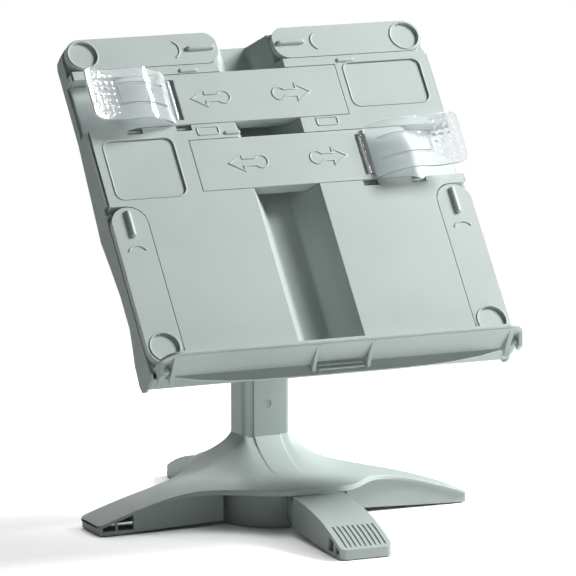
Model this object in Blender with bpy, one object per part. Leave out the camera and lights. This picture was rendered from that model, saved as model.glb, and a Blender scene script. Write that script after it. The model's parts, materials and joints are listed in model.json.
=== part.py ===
"""Desktop reading rack: a tilting panel with fold-out holders on a telescopic column and a cross base.

Metres, +Z up. The origin lies on the desk under the middle of the hub, +Y points to the back.
"""
import math

import bmesh
import bpy
from mathutils import Matrix, Vector

for item in list(bpy.data.objects):
    bpy.data.objects.remove(item, do_unlink=True)

# Clearances and cutting allowances shared by all pieces
SEAT_GAP = 0.0003
RUN_GAP = 0.0006
OVERRUN = 0.004
SINK = 0.001
WELD = 0.00001

# Driving sizes of the stand
COLUMN_Y = 0.031
HINGE_RISE = 0.266
LEAN_ANGLE = math.radians(38.6)

# Base cover in plan and in height
ARM_HALF = 0.161
ARM_TIP_HALF = 0.0215
HUB_HALF = 0.084
HUB_BELL = 0.061
HUB_BELL_POWER = 3
ARM_CORNER = 0.006
RIM_TIP = 0.0085
RIM_HUB = 0.0385
RIM_CURVE_POWER = 2.05
RIM_BAND = 0.0045
RIM_BAND_TIP = 0.0018
RIM_BAND_BELL = 0.095
RIM_BAND_POWER = 4
RIM_INSET = 0.0020
BASE_WALL = 0.0024
WALL_LIFT = 0.0008
WALL_ARCH = 0.0035
WALL_START = 0.054
FLARE_REACH = 0.050
FLARE_RISE = 0.0215
FLARE_POWER = 1.9
COVER_SKIN = 0.0016
COVER_STATIONS = (0.0, 0.0208, 0.027, 0.034, 0.043, 0.053, 0.063, 0.073, 0.083, 0.094, 0.108, 0.123, 0.139)
TIP_STATIONS = (0.006, 0.0035, 0.0015, 0.0)
COVER_SHARES = (-1.0, -0.75, -0.5, -0.3, -0.12, 0.05, 0.21, 0.54, 0.62, 0.74, 1.0)
WALL_STEPS = 6
HUB_BOSS_HALF = 0.008
ARM_WINDOWS = ((0.1311, 0.1448), (0.1465, 0.1575))
WINDOW_LOW = 0.0042
WINDOW_ROOF = 0.0012

# Rubber pads and the webs that hold them
PAD_THICK = 0.0022
WEB_THICK = 0.0013
ARM_WEB_START = 0.143
ARM_PAD = (0.146, 0.1555, 0.014)
FOOT_WEB_START = 0.146
FOOT_PAD = (0.149, 0.168, 0.0165)
PAD_CORNER = 0.003

# Foot bar and its drum
FOOT_HALF = 0.174
FOOT_SIDE = 0.022
FOOT_HIGH = 0.035
FOOT_CURVE_POWER = 3.55
FOOT_CORNER = 0.005
FOOT_ARCH = 0.0080
FOOT_FLAT = 0.158
FOOT_STEP = 0.0825
NECK_HALF = 0.0115
DRUM_RADIUS = 0.050
DRUM_TOP = 0.0275
DRUM_WALL = 0.0026
FOOT_BOSS_RADIUS = 0.010
FOOT_BOSS_LOW = 0.0212
FOOT_WINDOWS = ((0.150, 0.159), (0.163, 0.1695))
GROOVE_SPAN = (0.145, 0.171)
GROOVE_WIDTH = 0.0018
GROOVE_DEPTH = 0.0009
GROOVE_PITCH = 0.0042
GROOVE_COUNT = 9
GROOVE_STEPS = 3
FOOT_STEPS = 8

# Hub screw and washer
HUB_SHANK = 0.0041
HUB_THREAD = 0.0025
HUB_THREAD_TOP = 0.041
HUB_HEAD = 0.0075
HUB_HEAD_DEEP = 0.005
HUB_WASHER = 0.009
HUB_WASHER_THICK = 0.0015

# Outer column, its strip and its collar
COLUMN_WIDE = 0.0415
COLUMN_DEEP = 0.027
COLUMN_CORNER = 0.004
COLUMN_WALL = 0.0026
COLUMN_FOOT = 0.054
COLUMN_TOP = 0.158
STRIP_HALF = 0.0115
STRIP_PROUD = 0.0012
STRIP_REACH = 0.005
STRIP_DIMPLE_RISE = 0.088
STRIP_DIMPLE = 0.0035
COLLAR_LOW = 0.150
COLLAR_WALL = 0.0015
COLLAR_ROOF = 0.0035

# Height lock behind the column
LOCK_RISE = 0.140
LOCK_BOSS = 0.008
LOCK_BOSS_DEEP = 0.0065
STUD_RADIUS = 0.003
NUT_RADIUS = 0.0047
NUT_DEEP = 0.005
KNOB_RADIUS = 0.016
KNOB_DEEP = 0.014
KNOB_GAP = 0.003
KNOB_LOBES = 6
KNOB_FACETS = 48
KNOB_WAVE = 0.0018
KNOB_BORE_DEEP = 0.008

# Inner column and tilt head
TUBE_WALL = 0.0024
TUBE_LOW = 0.118
TUBE_TOP = 0.250
TUBE_CORNER = 0.003
HEAD_TOP = 0.257
HEAD_LIP = 0.001
PLUG_DEEP = 0.012
EAR_INNER = 0.013
EAR_THICK = 0.0055
EAR_RADIUS = 0.009
PIN_RADIUS = 0.003
PIN_HEAD = 0.006
PIN_HEAD_THICK = 0.0025
WASHER_THICK = 0.001
BARREL_RADIUS = 0.008
BARREL_HALF = 0.0114
HINGE_PLATE_HALF = 0.0127
HINGE_PLATE_LONG = 0.025
HINGE_PLATE_THICK = 0.003
HINGE_WEB = 0.005
TILT_SCREW_A = 0.0065
TILT_SCREW_B = 0.019
TILT_SCREW_HEAD = 0.0026
TILT_SCREW_REACH = 0.0017

# Panel: its face, its walls and where the tilt axis lies behind it
AXIS_B = 0.163
AXIS_C = -0.044
FACE_HALF = 0.153
FACE_LOW = -0.0179
FACE_HIGH = 0.2750
FACE_CORNER = 0.0135
PLATE = 0.0024
TROUGH_HALF = 0.0285
TROUGH_FLOOR_HALF = 0.012
TROUGH_DEEP = 0.025
TROUGH_SOFT = 0.003
TROUGH_BACK = 0.003
SHELL_FACE = -0.0182
SHELL_THICK = 0.0022
SHELL_WALL = 0.002
SHELL_HALF = 0.1555
SHELL_HIGH = 0.2775
SHELL_LOW = -0.0255
SHELL_CORNER = 0.016
SHELL_FOOT_CORNER = 0.003
SHELL_RIM = 0.0012
SHELL_ARM_RIM = 0.0067
SHELL_FOOT_RIM = 0.005
SHELL_SLOT = 0.0207
SHELL_SLOT_LOW = -0.020
FIN_DEEP = 0.032
FIN_SHARES = ((0.75, 0.6), (0.71, 0.65), (0.447, 0.906), (0.365, 0.78), (0.272, 0.656), (0.177, 0.656),
              (0.144, 0.75), (0.084, 0.94), (0.028, 1.0), (0.008, 0.94), (0.0, 0.78), (0.0, 0.6))
BOSS_PLACES = ((0.095, 0.015), (0.095, 0.105), (0.105, 0.187))
BOSS_RADIUS = 0.0032
BOSS_HOLE_DEEP = 0.009
SHELL_HEAD = 0.0028
SHELL_HEAD_DEEP = 0.0018
PAD_RECESS_DEEP = 0.0008
PAD_RECESS_CORNER = 0.007
UPPER_PAD_RECESS = (0.078, 0.146, 0.2005, 0.2415)
LOWER_PAD_RECESS = (-0.145, -0.085, 0.131, 0.184)
NOTCH_DEEP = 0.0034
NOTCH_SPANS = ((0.066, 0.079), (0.108, 0.121))
NOTCH_REACH = 0.005

# Holder arms on the face
PIVOT_HALF = 0.140
PIVOT_HIGH = 0.263
ARM_THICK = 0.0062
ARM_SKIN = 0.0024
UPPER_SIDE = 0.014
UPPER_FREE = 0.0245
LOWER_SIDE = 0.015
LOWER_FREE = 0.124
UPPER_TIP_CORNERS = (0.0105, 0.0125)
RECESS_DEEP = 0.0066
RECESS_CORNER = 0.015
DISC_RADIUS = 0.0115
DISC_DEEP = 0.0014
RIB_HALF = 0.0115
RIB_THICK = 0.003
RIB_PROUD = 0.002
SPIGOT_RADIUS = 0.004
SPIGOT_DEEP = 0.0092
RIB_INSET = 0.0033
ARM_BOSS = 0.007
ARM_FLANGE = 0.007
ARM_FLANGE_THICK = 0.001
ARM_HEAD = 0.003
ARM_HEAD_DEEP = 0.002
SCREW_RADIUS = 0.0012
SCREW_REACH = 0.004

# Sliding bars
BAR_UPPER_B = 0.2172
BAR_LOWER_B = 0.1567
BAR_SIDE = 0.023
BAR_OUTER = 0.1539
BAR_INNER = 0.0715
BAR_DEEP = 0.0125
BAR_SKIN = 0.0024
BAR_TRAVEL = 0.040
RAMP_START = 0.111
RAMP_MID = (0.122, 0.0062)
RAMP_FOOT = (0.130, 0.009)
RAMP_END = (0.152, 0.0105)
CHANNEL_DEEP = 0.0129
CHANNEL_FLOOR = 0.0022
CHANNEL_GAP = 0.0005
KEEPER_A = 0.060
KEEPER_SHANK = 0.0024
KEEPER_WASHER = 0.0055
KEEPER_WASHER_THICK = 0.0011
KEEPER_HEAD = 0.0032
KEEPER_HEAD_DEEP = 0.0012

# Clear page clips
CLIP_A = 0.075
CLIP_C = -0.0022
CLIP_REACH = 0.0775
CLIP_RISE = 0.0224
CLIP_THICK = 0.002
CLIP_BARREL = 0.0024
CLIP_BARREL_HALF = 0.018
CLIP_NECK = 0.0045
CLIP_GROOVE = 0.0046
CLIP_BLOCK = 0.0065
CLIP_BLOCK_DEEP = 0.008
CLIP_CORNER = 0.007
CLIP_PIN = 0.0012
CLIP_PIN_HALF = 0.0218
TONGUE_SPAN = (0.010, 0.052)
TONGUE_HALF = 0.010
TONGUE_SLIT = 0.0016
CLIP_SHARES = ((0.0, 0.0), (0.05, 0.16), (0.12, 0.37), (0.21, 0.57), (0.31, 0.73), (0.42, 0.81),
               (0.52, 0.81), (0.61, 0.75), (0.7, 0.74), (0.8, 0.8), (0.9, 0.89), (1.0, 1.0))

# Book ledge
LEDGE_B = -0.0243
LEDGE_C = 0.0065
LEDGE_TOP = -0.0185
LEDGE_THICK = 0.0024
LEDGE_BACK = -0.0018
LEDGE_FRONT = 0.0275
LEDGE_HALF = 0.155
LEDGE_CORNER = 0.016
SKIRT_HALF = 0.145
SKIRT_THICK = 0.0022
SKIRT_LOW = 0.0112
SKIRT_END = 0.0017
SKIRT_CURVE_POWER = 4
GUSSET_A = 0.022
GUSSET_THICK = 0.003
END_PLATE = (0.1515, 0.1545)
PIN_GUSSET = (0.141, 0.145)
EAR_SPAN = (0.1465, 0.1505)
LEDGE_EAR_RADIUS = 0.003
LEDGE_PIN = 0.0015
EAR_CLEAR = 0.0015
SKIRT_STEPS = 12

# Counts of facets
ROD_SIDES = 16
DRUM_SIDES = 40
CORNER_STEPS = 4
ROUND_END_STEPS = 8
CREASE_ANGLE = math.radians(35)

# Finishes: colour, roughness, metallic
SAGE = ((0.56, 0.62, 0.59), 0.42, 0.0)
SAGE_DARK = ((0.40, 0.46, 0.43), 0.45, 0.0)
CLEAR = ((0.93, 0.95, 0.95), 0.12, 0.0)
STEEL = ((0.62, 0.62, 0.63), 0.3, 1.0)
BRASS = ((0.72, 0.55, 0.28), 0.35, 1.0)
RUBBER = ((0.08, 0.08, 0.08), 0.85, 0.0)


def finish(name, colour, roughness, metallic):
    """A Principled material of one colour for one piece."""
    material = bpy.data.materials.new(name + "_finish")
    material.use_nodes = True
    shader = material.node_tree.nodes["Principled BSDF"]
    shader.inputs["Base Color"].default_value = (*colour, 1.0)
    shader.inputs["Roughness"].default_value = roughness
    shader.inputs["Metallic"].default_value = metallic
    return material


def link(name, bm, parent, place):
    mesh = bpy.data.meshes.new(name)
    bm.to_mesh(mesh)
    bm.free()
    mesh.shade_smooth()
    mesh.set_sharp_from_angle(angle=CREASE_ANGLE)
    body = bpy.data.objects.new(name, mesh)
    bpy.context.collection.objects.link(body)
    body.parent = parent
    body.location = place
    return body


def solid(name, bm, look, parent=None, place=(0, 0, 0)):
    """One piece of the rack, made of a closed mesh."""
    body = link(name, bm, parent, place)
    body.data.materials.append(finish(name, *look))
    return body


def shape(body, operation, bm):
    """Cut a mesh from a piece, or join it on, in the piece's own coordinates."""
    tool = link(f"{body.name}_tool_{len(body.modifiers)}", bm, body, (0, 0, 0))
    tool.hide_render = True
    tool.display_type = "WIRE"
    modifier = body.modifiers.new(operation.lower(), "BOOLEAN")
    modifier.operation = operation
    modifier.object = tool
    modifier.solver = "EXACT"


def cut(body, *shapes):
    shape(body, "DIFFERENCE", together(*shapes))


def add(body, *shapes):
    shape(body, "UNION", together(*shapes))


def trim(body, bm):
    shape(body, "INTERSECT", bm)


def together(*shapes):
    """Put shapes that don't touch each other into one mesh."""
    whole = bmesh.new()
    for bm in shapes:
        mesh = bpy.data.meshes.new("shape")
        bm.to_mesh(mesh)
        bm.free()
        whole.from_mesh(mesh)
        bpy.data.meshes.remove(mesh)
    return whole


def empty(name, parent=None, place=(0, 0, 0), turn=(0, 0, 0)):
    frame = bpy.data.objects.new(name, None)
    bpy.context.collection.objects.link(frame)
    frame.parent = parent
    frame.location = place
    frame.rotation_euler = turn
    return frame


def prism(outline, low, high, axis="Z"):
    """Extrude an outline: (y, z) points along X, (x, z) points along Y or (x, y) points along Z."""
    place = {"X": lambda u, v: (low, u, v), "Y": lambda u, v: (u, low, v), "Z": lambda u, v: (u, v, low)}
    along = {"X": Vector((1, 0, 0)), "Y": Vector((0, 1, 0)), "Z": Vector((0, 0, 1))}
    bm = bmesh.new()
    face = bm.faces.new([bm.verts.new(place[axis](u, v)) for u, v in outline])
    grown = bmesh.ops.extrude_face_region(bm, geom=[face], use_keep_orig=True)
    moved = [item for item in grown["geom"] if isinstance(item, bmesh.types.BMVert)]
    bmesh.ops.translate(bm, verts=moved, vec=along[axis] * (high - low))
    bmesh.ops.recalc_face_normals(bm, faces=bm.faces)
    return bm


def box(x0, x1, y0, y1, z0, z1):
    return prism(((x0, y0), (x1, y0), (x1, y1), (x0, y1)), z0, z1)


def rounded(points, radii, steps=CORNER_STEPS):
    """Round the corners of an outline, each with its own radius."""
    outline = []
    count = len(points)
    for i, point in enumerate(points):
        radius = radii[i] if isinstance(radii, (tuple, list)) else radii
        here = Vector(point)
        before = (Vector(points[i - 1]) - here).normalized()
        after = (Vector(points[(i + 1) % count]) - here).normalized()
        if radius == 0:
            outline.append(tuple(here))
            continue
        half = before.angle(after) / 2
        centre = here + (before + after).normalized() * radius / math.sin(half)
        start = here + before * radius / math.tan(half) - centre
        end = here + after * radius / math.tan(half) - centre
        turn = start.angle_signed(end)
        for k in range(steps + 1):
            angle = -turn * k / steps
            outline.append((centre.x + start.x * math.cos(angle) - start.y * math.sin(angle),
                            centre.y + start.x * math.sin(angle) + start.y * math.cos(angle)))
    return outline


def slab(half_x, half_y, corner, centre=(0, 0)):
    """Outline of a rectangle with round corners."""
    x, y = centre
    points = ((x - half_x, y - half_y), (x + half_x, y - half_y), (x + half_x, y + half_y),
              (x - half_x, y + half_y))
    return rounded(points, corner)


def rod(radius, low, high, axis="Z", centre=(0, 0, 0), sides=ROD_SIDES, far=None):
    """Cylinder, or a cone if the far radius differs, between two levels along an axis through a centre."""
    bm = bmesh.new()
    bmesh.ops.create_cone(bm, cap_ends=True, segments=sides, radius1=radius,
                          radius2=radius if far is None else far, depth=high - low)
    bmesh.ops.translate(bm, verts=bm.verts, vec=(0, 0, (low + high) / 2))
    return stood(bm, axis, centre)


def turned(profile, axis="Z", centre=(0, 0, 0), sides=ROD_SIDES):
    """Spin a (radius, level) outline round an axis; it closes on the axis or on itself."""
    bm = bmesh.new()
    verts = [bm.verts.new((radius, 0, level)) for radius, level in profile]
    for first, second in zip(verts, verts[1:]):
        bm.edges.new((first, second))
    if profile[0][0] > 0:
        bm.edges.new((verts[-1], verts[0]))
    bmesh.ops.spin(bm, geom=list(bm.edges), cent=(0, 0, 0), axis=(0, 0, 1), angle=math.tau, steps=sides,
                   use_merge=True)
    bmesh.ops.remove_doubles(bm, verts=bm.verts, dist=WELD)
    bmesh.ops.recalc_face_normals(bm, faces=bm.faces)
    return stood(bm, axis, centre)


def stood(bm, axis, centre):
    """Turn a shape that was made along Z to another axis and move it to its centre."""
    turns = {"X": Matrix.Rotation(math.pi / 2, 4, "Y"), "Y": Matrix.Rotation(-math.pi / 2, 4, "X"),
             "Z": Matrix.Identity(4)}
    bmesh.ops.transform(bm, matrix=Matrix.Translation(centre) @ turns[axis], verts=bm.verts)
    return bm


def inset(points, distance):
    """Move an anticlockwise outline inwards by a distance."""
    moved = []
    count = len(points)
    for i, point in enumerate(points):
        before = Vector(point) - Vector(points[i - 1])
        after = Vector(points[(i + 1) % count]) - Vector(point)
        first = Vector((-before.y, before.x)).normalized()
        second = Vector((-after.y, after.x)).normalized()
        middle = (first + second).normalized()
        moved.append(tuple(Vector(point) + middle * distance / middle.dot(first)))
    return moved


def sweep(loops):
    """Skin a row of closed outlines and cap both ends."""
    bm = bmesh.new()
    rows = [[bm.verts.new(point) for point in loop] for loop in loops]
    for row, following in zip(rows, rows[1:]):
        for i, vert in enumerate(row):
            bm.faces.new((row[i - 1], vert, following[i], following[i - 1]))
    bm.faces.new(rows[0])
    bm.faces.new(rows[-1])
    bmesh.ops.recalc_face_normals(bm, faces=bm.faces)
    return bm


def span(first, second):
    return min(first, second), max(first, second)


def cover_reach(x):
    """Half-depth of the cover's plan: narrow arms with round tip corners that swell into the hub."""
    reach = ARM_TIP_HALF + (HUB_HALF - ARM_TIP_HALF) * math.exp(-(abs(x) / HUB_BELL) ** HUB_BELL_POWER)
    past = max(abs(x) - ARM_HALF + ARM_CORNER, 0)
    return reach - ARM_CORNER + math.sqrt(ARM_CORNER ** 2 - past ** 2)


def cover_height(x):
    return RIM_TIP + (RIM_HUB - RIM_TIP) * (1 - (abs(x) / ARM_HALF) ** RIM_CURVE_POWER)


def rim_low(x):
    """Bottom of the rim band, which gets taller towards the hub."""
    swell = math.exp(-(x / RIM_BAND_BELL) ** RIM_BAND_POWER)
    return cover_height(x) - RIM_BAND_TIP - (RIM_BAND - RIM_BAND_TIP) * swell


def flare(distance):
    """Rise of the cover towards the column."""
    return FLARE_RISE * (1 - min(max(distance / FLARE_REACH, 0), 1)) ** FLARE_POWER


def column_distance(x, y):
    """Distance in plan from a place to the column's side, less than zero inside the column."""
    beside = max(abs(x) - COLUMN_WIDE / 2 + COLUMN_CORNER, 0)
    ahead = max(abs(y - COLUMN_Y) - COLUMN_DEEP / 2 + COLUMN_CORNER, 0)
    return math.hypot(beside, ahead) - COLUMN_CORNER


def cover_surface(x, y):
    """Height of the cover's top over a place in its plan."""
    return cover_height(x) + flare(column_distance(x, y))


def cover_shell():
    """Arched skin of the cover with its rim band, open underneath and swept from tip to tip."""
    tips = [ARM_HALF - back for back in TIP_STATIONS]
    half = [x for x in COVER_STATIONS if x < ARM_HALF - ARM_CORNER] + tips
    stations = [-x for x in reversed(half[1:])] + half
    loops = []
    for x in stations:
        reach = cover_reach(x)
        inner = reach - BASE_WALL
        low = rim_low(x)
        top = [(x, share * reach, cover_surface(x, share * reach)) for share in COVER_SHARES]
        under = [(x, share * inner, cover_surface(x, share * inner) - COVER_SKIN)
                 for share in reversed(COVER_SHARES)]
        loops.append(top + [(x, reach, low), (x, inner, low)] + under + [(x, -inner, low), (x, -reach, low)])
    return sweep(loops)


def arm_walls(side):
    """Straight walls of one arm, from its tip nearly to the drum."""
    outer = ARM_TIP_HALF - RIM_INSET
    tip = side * (ARM_HALF - RIM_INSET)
    near = side * WALL_START
    walls = []
    for turn in (-1, 1):
        middle = turn * (outer - BASE_WALL / 2)
        tops = [near + (tip - near) * k / WALL_STEPS for k in range(WALL_STEPS + 1)]
        top = [(x, cover_surface(x, middle) - COVER_SKIN / 2) for x in reversed(tops)]
        outline = top + [(near, WALL_LIFT + WALL_ARCH), (tip - side * ARM_CORNER, WALL_LIFT),
                         (tip, WALL_LIFT)]
        walls.append(prism(outline, *span(turn * (outer - BASE_WALL), turn * outer), "Y"))
    low, high = span(tip, tip - side * BASE_WALL)
    end_top = cover_height(tip) - COVER_SKIN / 2
    walls.append(box(low, high, SINK / 2 - outer, outer - SINK / 2, WALL_LIFT + WELD, end_top))
    return walls


def strip():
    """Raised band down the front of the column."""
    face = COLUMN_Y - COLUMN_DEEP / 2
    top = COLLAR_LOW - SEAT_GAP
    foot = cover_height(0) + FLARE_RISE
    outline = ((face - STRIP_PROUD, top), (face + SINK, top), (face + SINK, foot - SINK),
               (face - STRIP_REACH, foot - STRIP_REACH), (face - STRIP_PROUD, foot))
    return prism(outline, -STRIP_HALF, STRIP_HALF, "X")


def window(places, roof, side, near, far, axis):
    """Opening in a wall near a tip, with a sloping roof."""
    start, end = places
    outline = ((side * start, WINDOW_LOW), (side * end, WINDOW_LOW), (side * end, roof(end)),
               (side * start, roof(start)))
    return prism(outline, *span(side * near, side * far), axis)


def arm_window_roof(x):
    return rim_low(x) - WINDOW_ROOF


def foot_window_roof(reach):
    return foot_height(reach) - BASE_WALL - WINDOW_ROOF


def hub_boss():
    """Square boss for the hub screw, its slanting top sunk in the cover's skin."""
    outline = [(-HUB_BOSS_HALF, DRUM_TOP + SEAT_GAP), (HUB_BOSS_HALF, DRUM_TOP + SEAT_GAP)]
    outline += [(y, cover_surface(0, y) - COVER_SKIN / 2) for y in (HUB_BOSS_HALF, -HUB_BOSS_HALF)]
    return prism(outline, -HUB_BOSS_HALF, HUB_BOSS_HALF, "X")


def base_cover():
    """Column and arched cover, one moulding."""
    body = solid("base_cover", cover_shell(), SAGE)
    for side in (-1, 1):
        for wall in arm_walls(side):
            add(body, wall)
    column = slab(COLUMN_WIDE / 2, COLUMN_DEEP / 2, COLUMN_CORNER, (0, COLUMN_Y))
    add(body, prism(column, COLUMN_FOOT, COLUMN_TOP))
    add(body, strip())
    lock_face = COLUMN_Y + COLUMN_DEEP / 2
    add(body, rod(LOCK_BOSS, lock_face - SINK, lock_face + LOCK_BOSS_DEEP, "Y", (0, 0, LOCK_RISE)))
    hollow = slab(COLUMN_WIDE / 2 - COLUMN_WALL, COLUMN_DEEP / 2 - COLUMN_WALL, COLUMN_CORNER - COLUMN_WALL,
                  (0, COLUMN_Y))
    cut(body, prism(hollow, COLUMN_FOOT - OVERRUN, COLUMN_TOP + OVERRUN))
    add(body, hub_boss())
    cut(body, rod(HUB_THREAD + SEAT_GAP, DRUM_TOP - OVERRUN, HUB_THREAD_TOP + SINK))
    web_end = ARM_HALF - RIM_INSET - SINK
    web_side = ARM_TIP_HALF - RIM_INSET - SINK
    low = PAD_THICK + SEAT_GAP
    add(body, *[box(*span(side * ARM_WEB_START, side * web_end), -web_side, web_side, low, low + WEB_THICK)
                for side in (-1, 1)])
    inner_side = ARM_TIP_HALF - RIM_INSET - BASE_WALL - RUN_GAP
    outer_side = ARM_TIP_HALF + OVERRUN
    cut(body, *[window(places, arm_window_roof, side, inner_side, outer_side, "Y")
                for places in ARM_WINDOWS for side in (-1, 1)])
    stud_hole = rod(STUD_RADIUS + SEAT_GAP, COLUMN_Y, lock_face + LOCK_BOSS_DEEP + OVERRUN, "Y",
                    (0, 0, LOCK_RISE))
    nut_seat = lock_face + LOCK_BOSS_DEEP - NUT_DEEP - SEAT_GAP
    cut(body, stud_hole)
    cut(body, rod(NUT_RADIUS + SEAT_GAP, nut_seat, lock_face + LOCK_BOSS_DEEP + OVERRUN, "Y",
                  (0, 0, LOCK_RISE)))
    strip_face = COLUMN_Y - COLUMN_DEEP / 2 - STRIP_PROUD
    cut(body, rod(STRIP_DIMPLE, strip_face - OVERRUN, strip_face + STRIP_PROUD / 2, "Y",
                  (0, 0, STRIP_DIMPLE_RISE)))
    return body


def foot_height(reach):
    return RIM_TIP + (FOOT_HIGH - RIM_TIP) * (1 - min(abs(reach) / FOOT_HALF, 1) ** FOOT_CURVE_POWER)


def foot_tops(wall):
    """Points along the arched top of one foot, from its step to its tip, moved inwards by a wall."""
    start, end = FOOT_STEP + wall, FOOT_HALF - wall
    reaches = [start + (end - start) * k / FOOT_STEPS for k in range(FOOT_STEPS + 1)]
    return [(reach, foot_height(reach) - wall) for reach in reaches]


def bar_plan(wall, end, corner):
    """Plan of the foot bar, which narrows at the drum, moved inwards by a wall and cut off at its ends."""
    wide, waist = FOOT_SIDE - wall, NECK_HALF - wall
    right = ((wide, -end), (wide, -FOOT_STEP), (waist, -DRUM_RADIUS), (waist, DRUM_RADIUS), (wide, FOOT_STEP),
             (wide, end))
    left = [(-x, -y) for x, y in right]
    return rounded([*right, *left], (corner, 0, 0, 0, 0, corner) * 2)


def foot_bar():
    """Front and back feet with the neck and the round drum that carry them under the cover."""
    back = foot_tops(0) + [(FOOT_HALF, WALL_LIFT), (FOOT_FLAT, WALL_LIFT), (FOOT_STEP, FOOT_ARCH)]
    front = [(-reach, z) for reach, z in reversed(back)]
    side_view = [(FOOT_STEP, DRUM_TOP), *back, *front, (-FOOT_STEP, DRUM_TOP)]
    body = solid("foot_bar", prism(side_view, -FOOT_SIDE - SINK, FOOT_SIDE + SINK, "X"), SAGE)
    trim(body, prism(bar_plan(0, FOOT_HALF, FOOT_CORNER), -OVERRUN, FOOT_HIGH + OVERRUN))
    drum = ((0, WALL_LIFT), (DRUM_RADIUS, WALL_LIFT), (DRUM_RADIUS, DRUM_TOP), (0, DRUM_TOP))
    add(body, turned(drum, sides=DRUM_SIDES))
    roof = DRUM_TOP - BASE_WALL
    inside = foot_tops(BASE_WALL)
    inside += [(FOOT_HALF - BASE_WALL, -OVERRUN), (FOOT_STEP + BASE_WALL, -OVERRUN)]
    cut(body, *[prism([(side * reach, z) for reach, z in inside], BASE_WALL - FOOT_SIDE,
                      FOOT_SIDE - BASE_WALL, "X")
                for side in (-1, 1)])
    cut(body, prism(bar_plan(BASE_WALL + WELD, FOOT_STEP + BASE_WALL + SINK, 0), -OVERRUN, roof))
    inner = DRUM_RADIUS - DRUM_WALL
    cut(body, turned(((0, -OVERRUN), (inner, -OVERRUN), (inner, roof), (0, roof)), sides=DRUM_SIDES))
    add(body, rod(FOOT_BOSS_RADIUS, FOOT_BOSS_LOW, roof + SINK))
    cut(body, rod(HUB_SHANK + SEAT_GAP, FOOT_BOSS_LOW - OVERRUN, DRUM_TOP + OVERRUN))
    web_end = FOOT_HALF - SINK
    web_side = FOOT_SIDE - SINK
    low = PAD_THICK + SEAT_GAP
    add(body, *[box(-web_side, web_side, *span(side * FOOT_WEB_START, side * web_end), low, low + WEB_THICK)
                for side in (-1, 1)])
    inner_side = FOOT_SIDE - BASE_WALL - RUN_GAP
    cut(body, *[window(places, foot_window_roof, side, inner_side, FOOT_SIDE + OVERRUN, "X")
                for places in FOOT_WINDOWS for side in (-1, 1)])
    cut(body, *[groove((k - (GROOVE_COUNT - 1) / 2) * GROOVE_PITCH, side)
                for k in range(GROOVE_COUNT) for side in (-1, 1)])
    return body


def groove(x, side):
    """Shallow channel along the sloping top of a foot tip."""
    start, end = GROOVE_SPAN
    reaches = [start + (end - start) * k / GROOVE_STEPS for k in range(GROOVE_STEPS + 1)]
    outline = [(side * y, foot_height(y) - GROOVE_DEPTH) for y in reaches]
    outline += [(side * end, foot_height(start) + OVERRUN), (side * start, foot_height(start) + OVERRUN)]
    return prism(outline, x - GROOVE_WIDTH / 2, x + GROOVE_WIDTH / 2, "X")


def base_fittings():
    """Hub screw with its washer, and the rubber pads under the four tips."""
    washer_top = FOOT_BOSS_LOW - SEAT_GAP
    washer_low = washer_top - HUB_WASHER_THICK
    bore = HUB_SHANK + SEAT_GAP
    ring = ((bore, washer_low), (HUB_WASHER, washer_low), (HUB_WASHER, washer_top), (bore, washer_top))
    solid("hub_washer", turned(ring), STEEL)
    head_top = washer_low - SEAT_GAP
    screw = ((0, head_top - HUB_HEAD_DEEP), (HUB_HEAD, head_top - HUB_HEAD_DEEP), (HUB_HEAD, head_top),
             (HUB_SHANK, head_top), (HUB_SHANK, DRUM_TOP), (HUB_THREAD, DRUM_TOP),
             (HUB_THREAD, HUB_THREAD_TOP),
             (0, HUB_THREAD_TOP))
    solid("hub_screw", turned(screw), STEEL)
    start, end, side = ARM_PAD
    for name, turn in (("left", -1), ("right", 1)):
        pad = slab((end - start) / 2, side, PAD_CORNER, (turn * (start + end) / 2, 0))
        solid(f"arm_pad_{name}", prism(pad, 0, PAD_THICK), RUBBER)
    start, end, side = FOOT_PAD
    for name, turn in (("front", -1), ("back", 1)):
        pad = slab(side, (end - start) / 2, PAD_CORNER, (0, turn * (start + end) / 2))
        solid(f"foot_pad_{name}", prism(pad, 0, PAD_THICK), RUBBER)


base_cover()
foot_bar()
base_fittings()


def column_size(wall):
    """Half-sizes of the column's outline, moved inwards by a wall."""
    return COLUMN_WIDE / 2 - wall, COLUMN_DEEP / 2 - wall, max(COLUMN_CORNER - wall, SINK)


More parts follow.
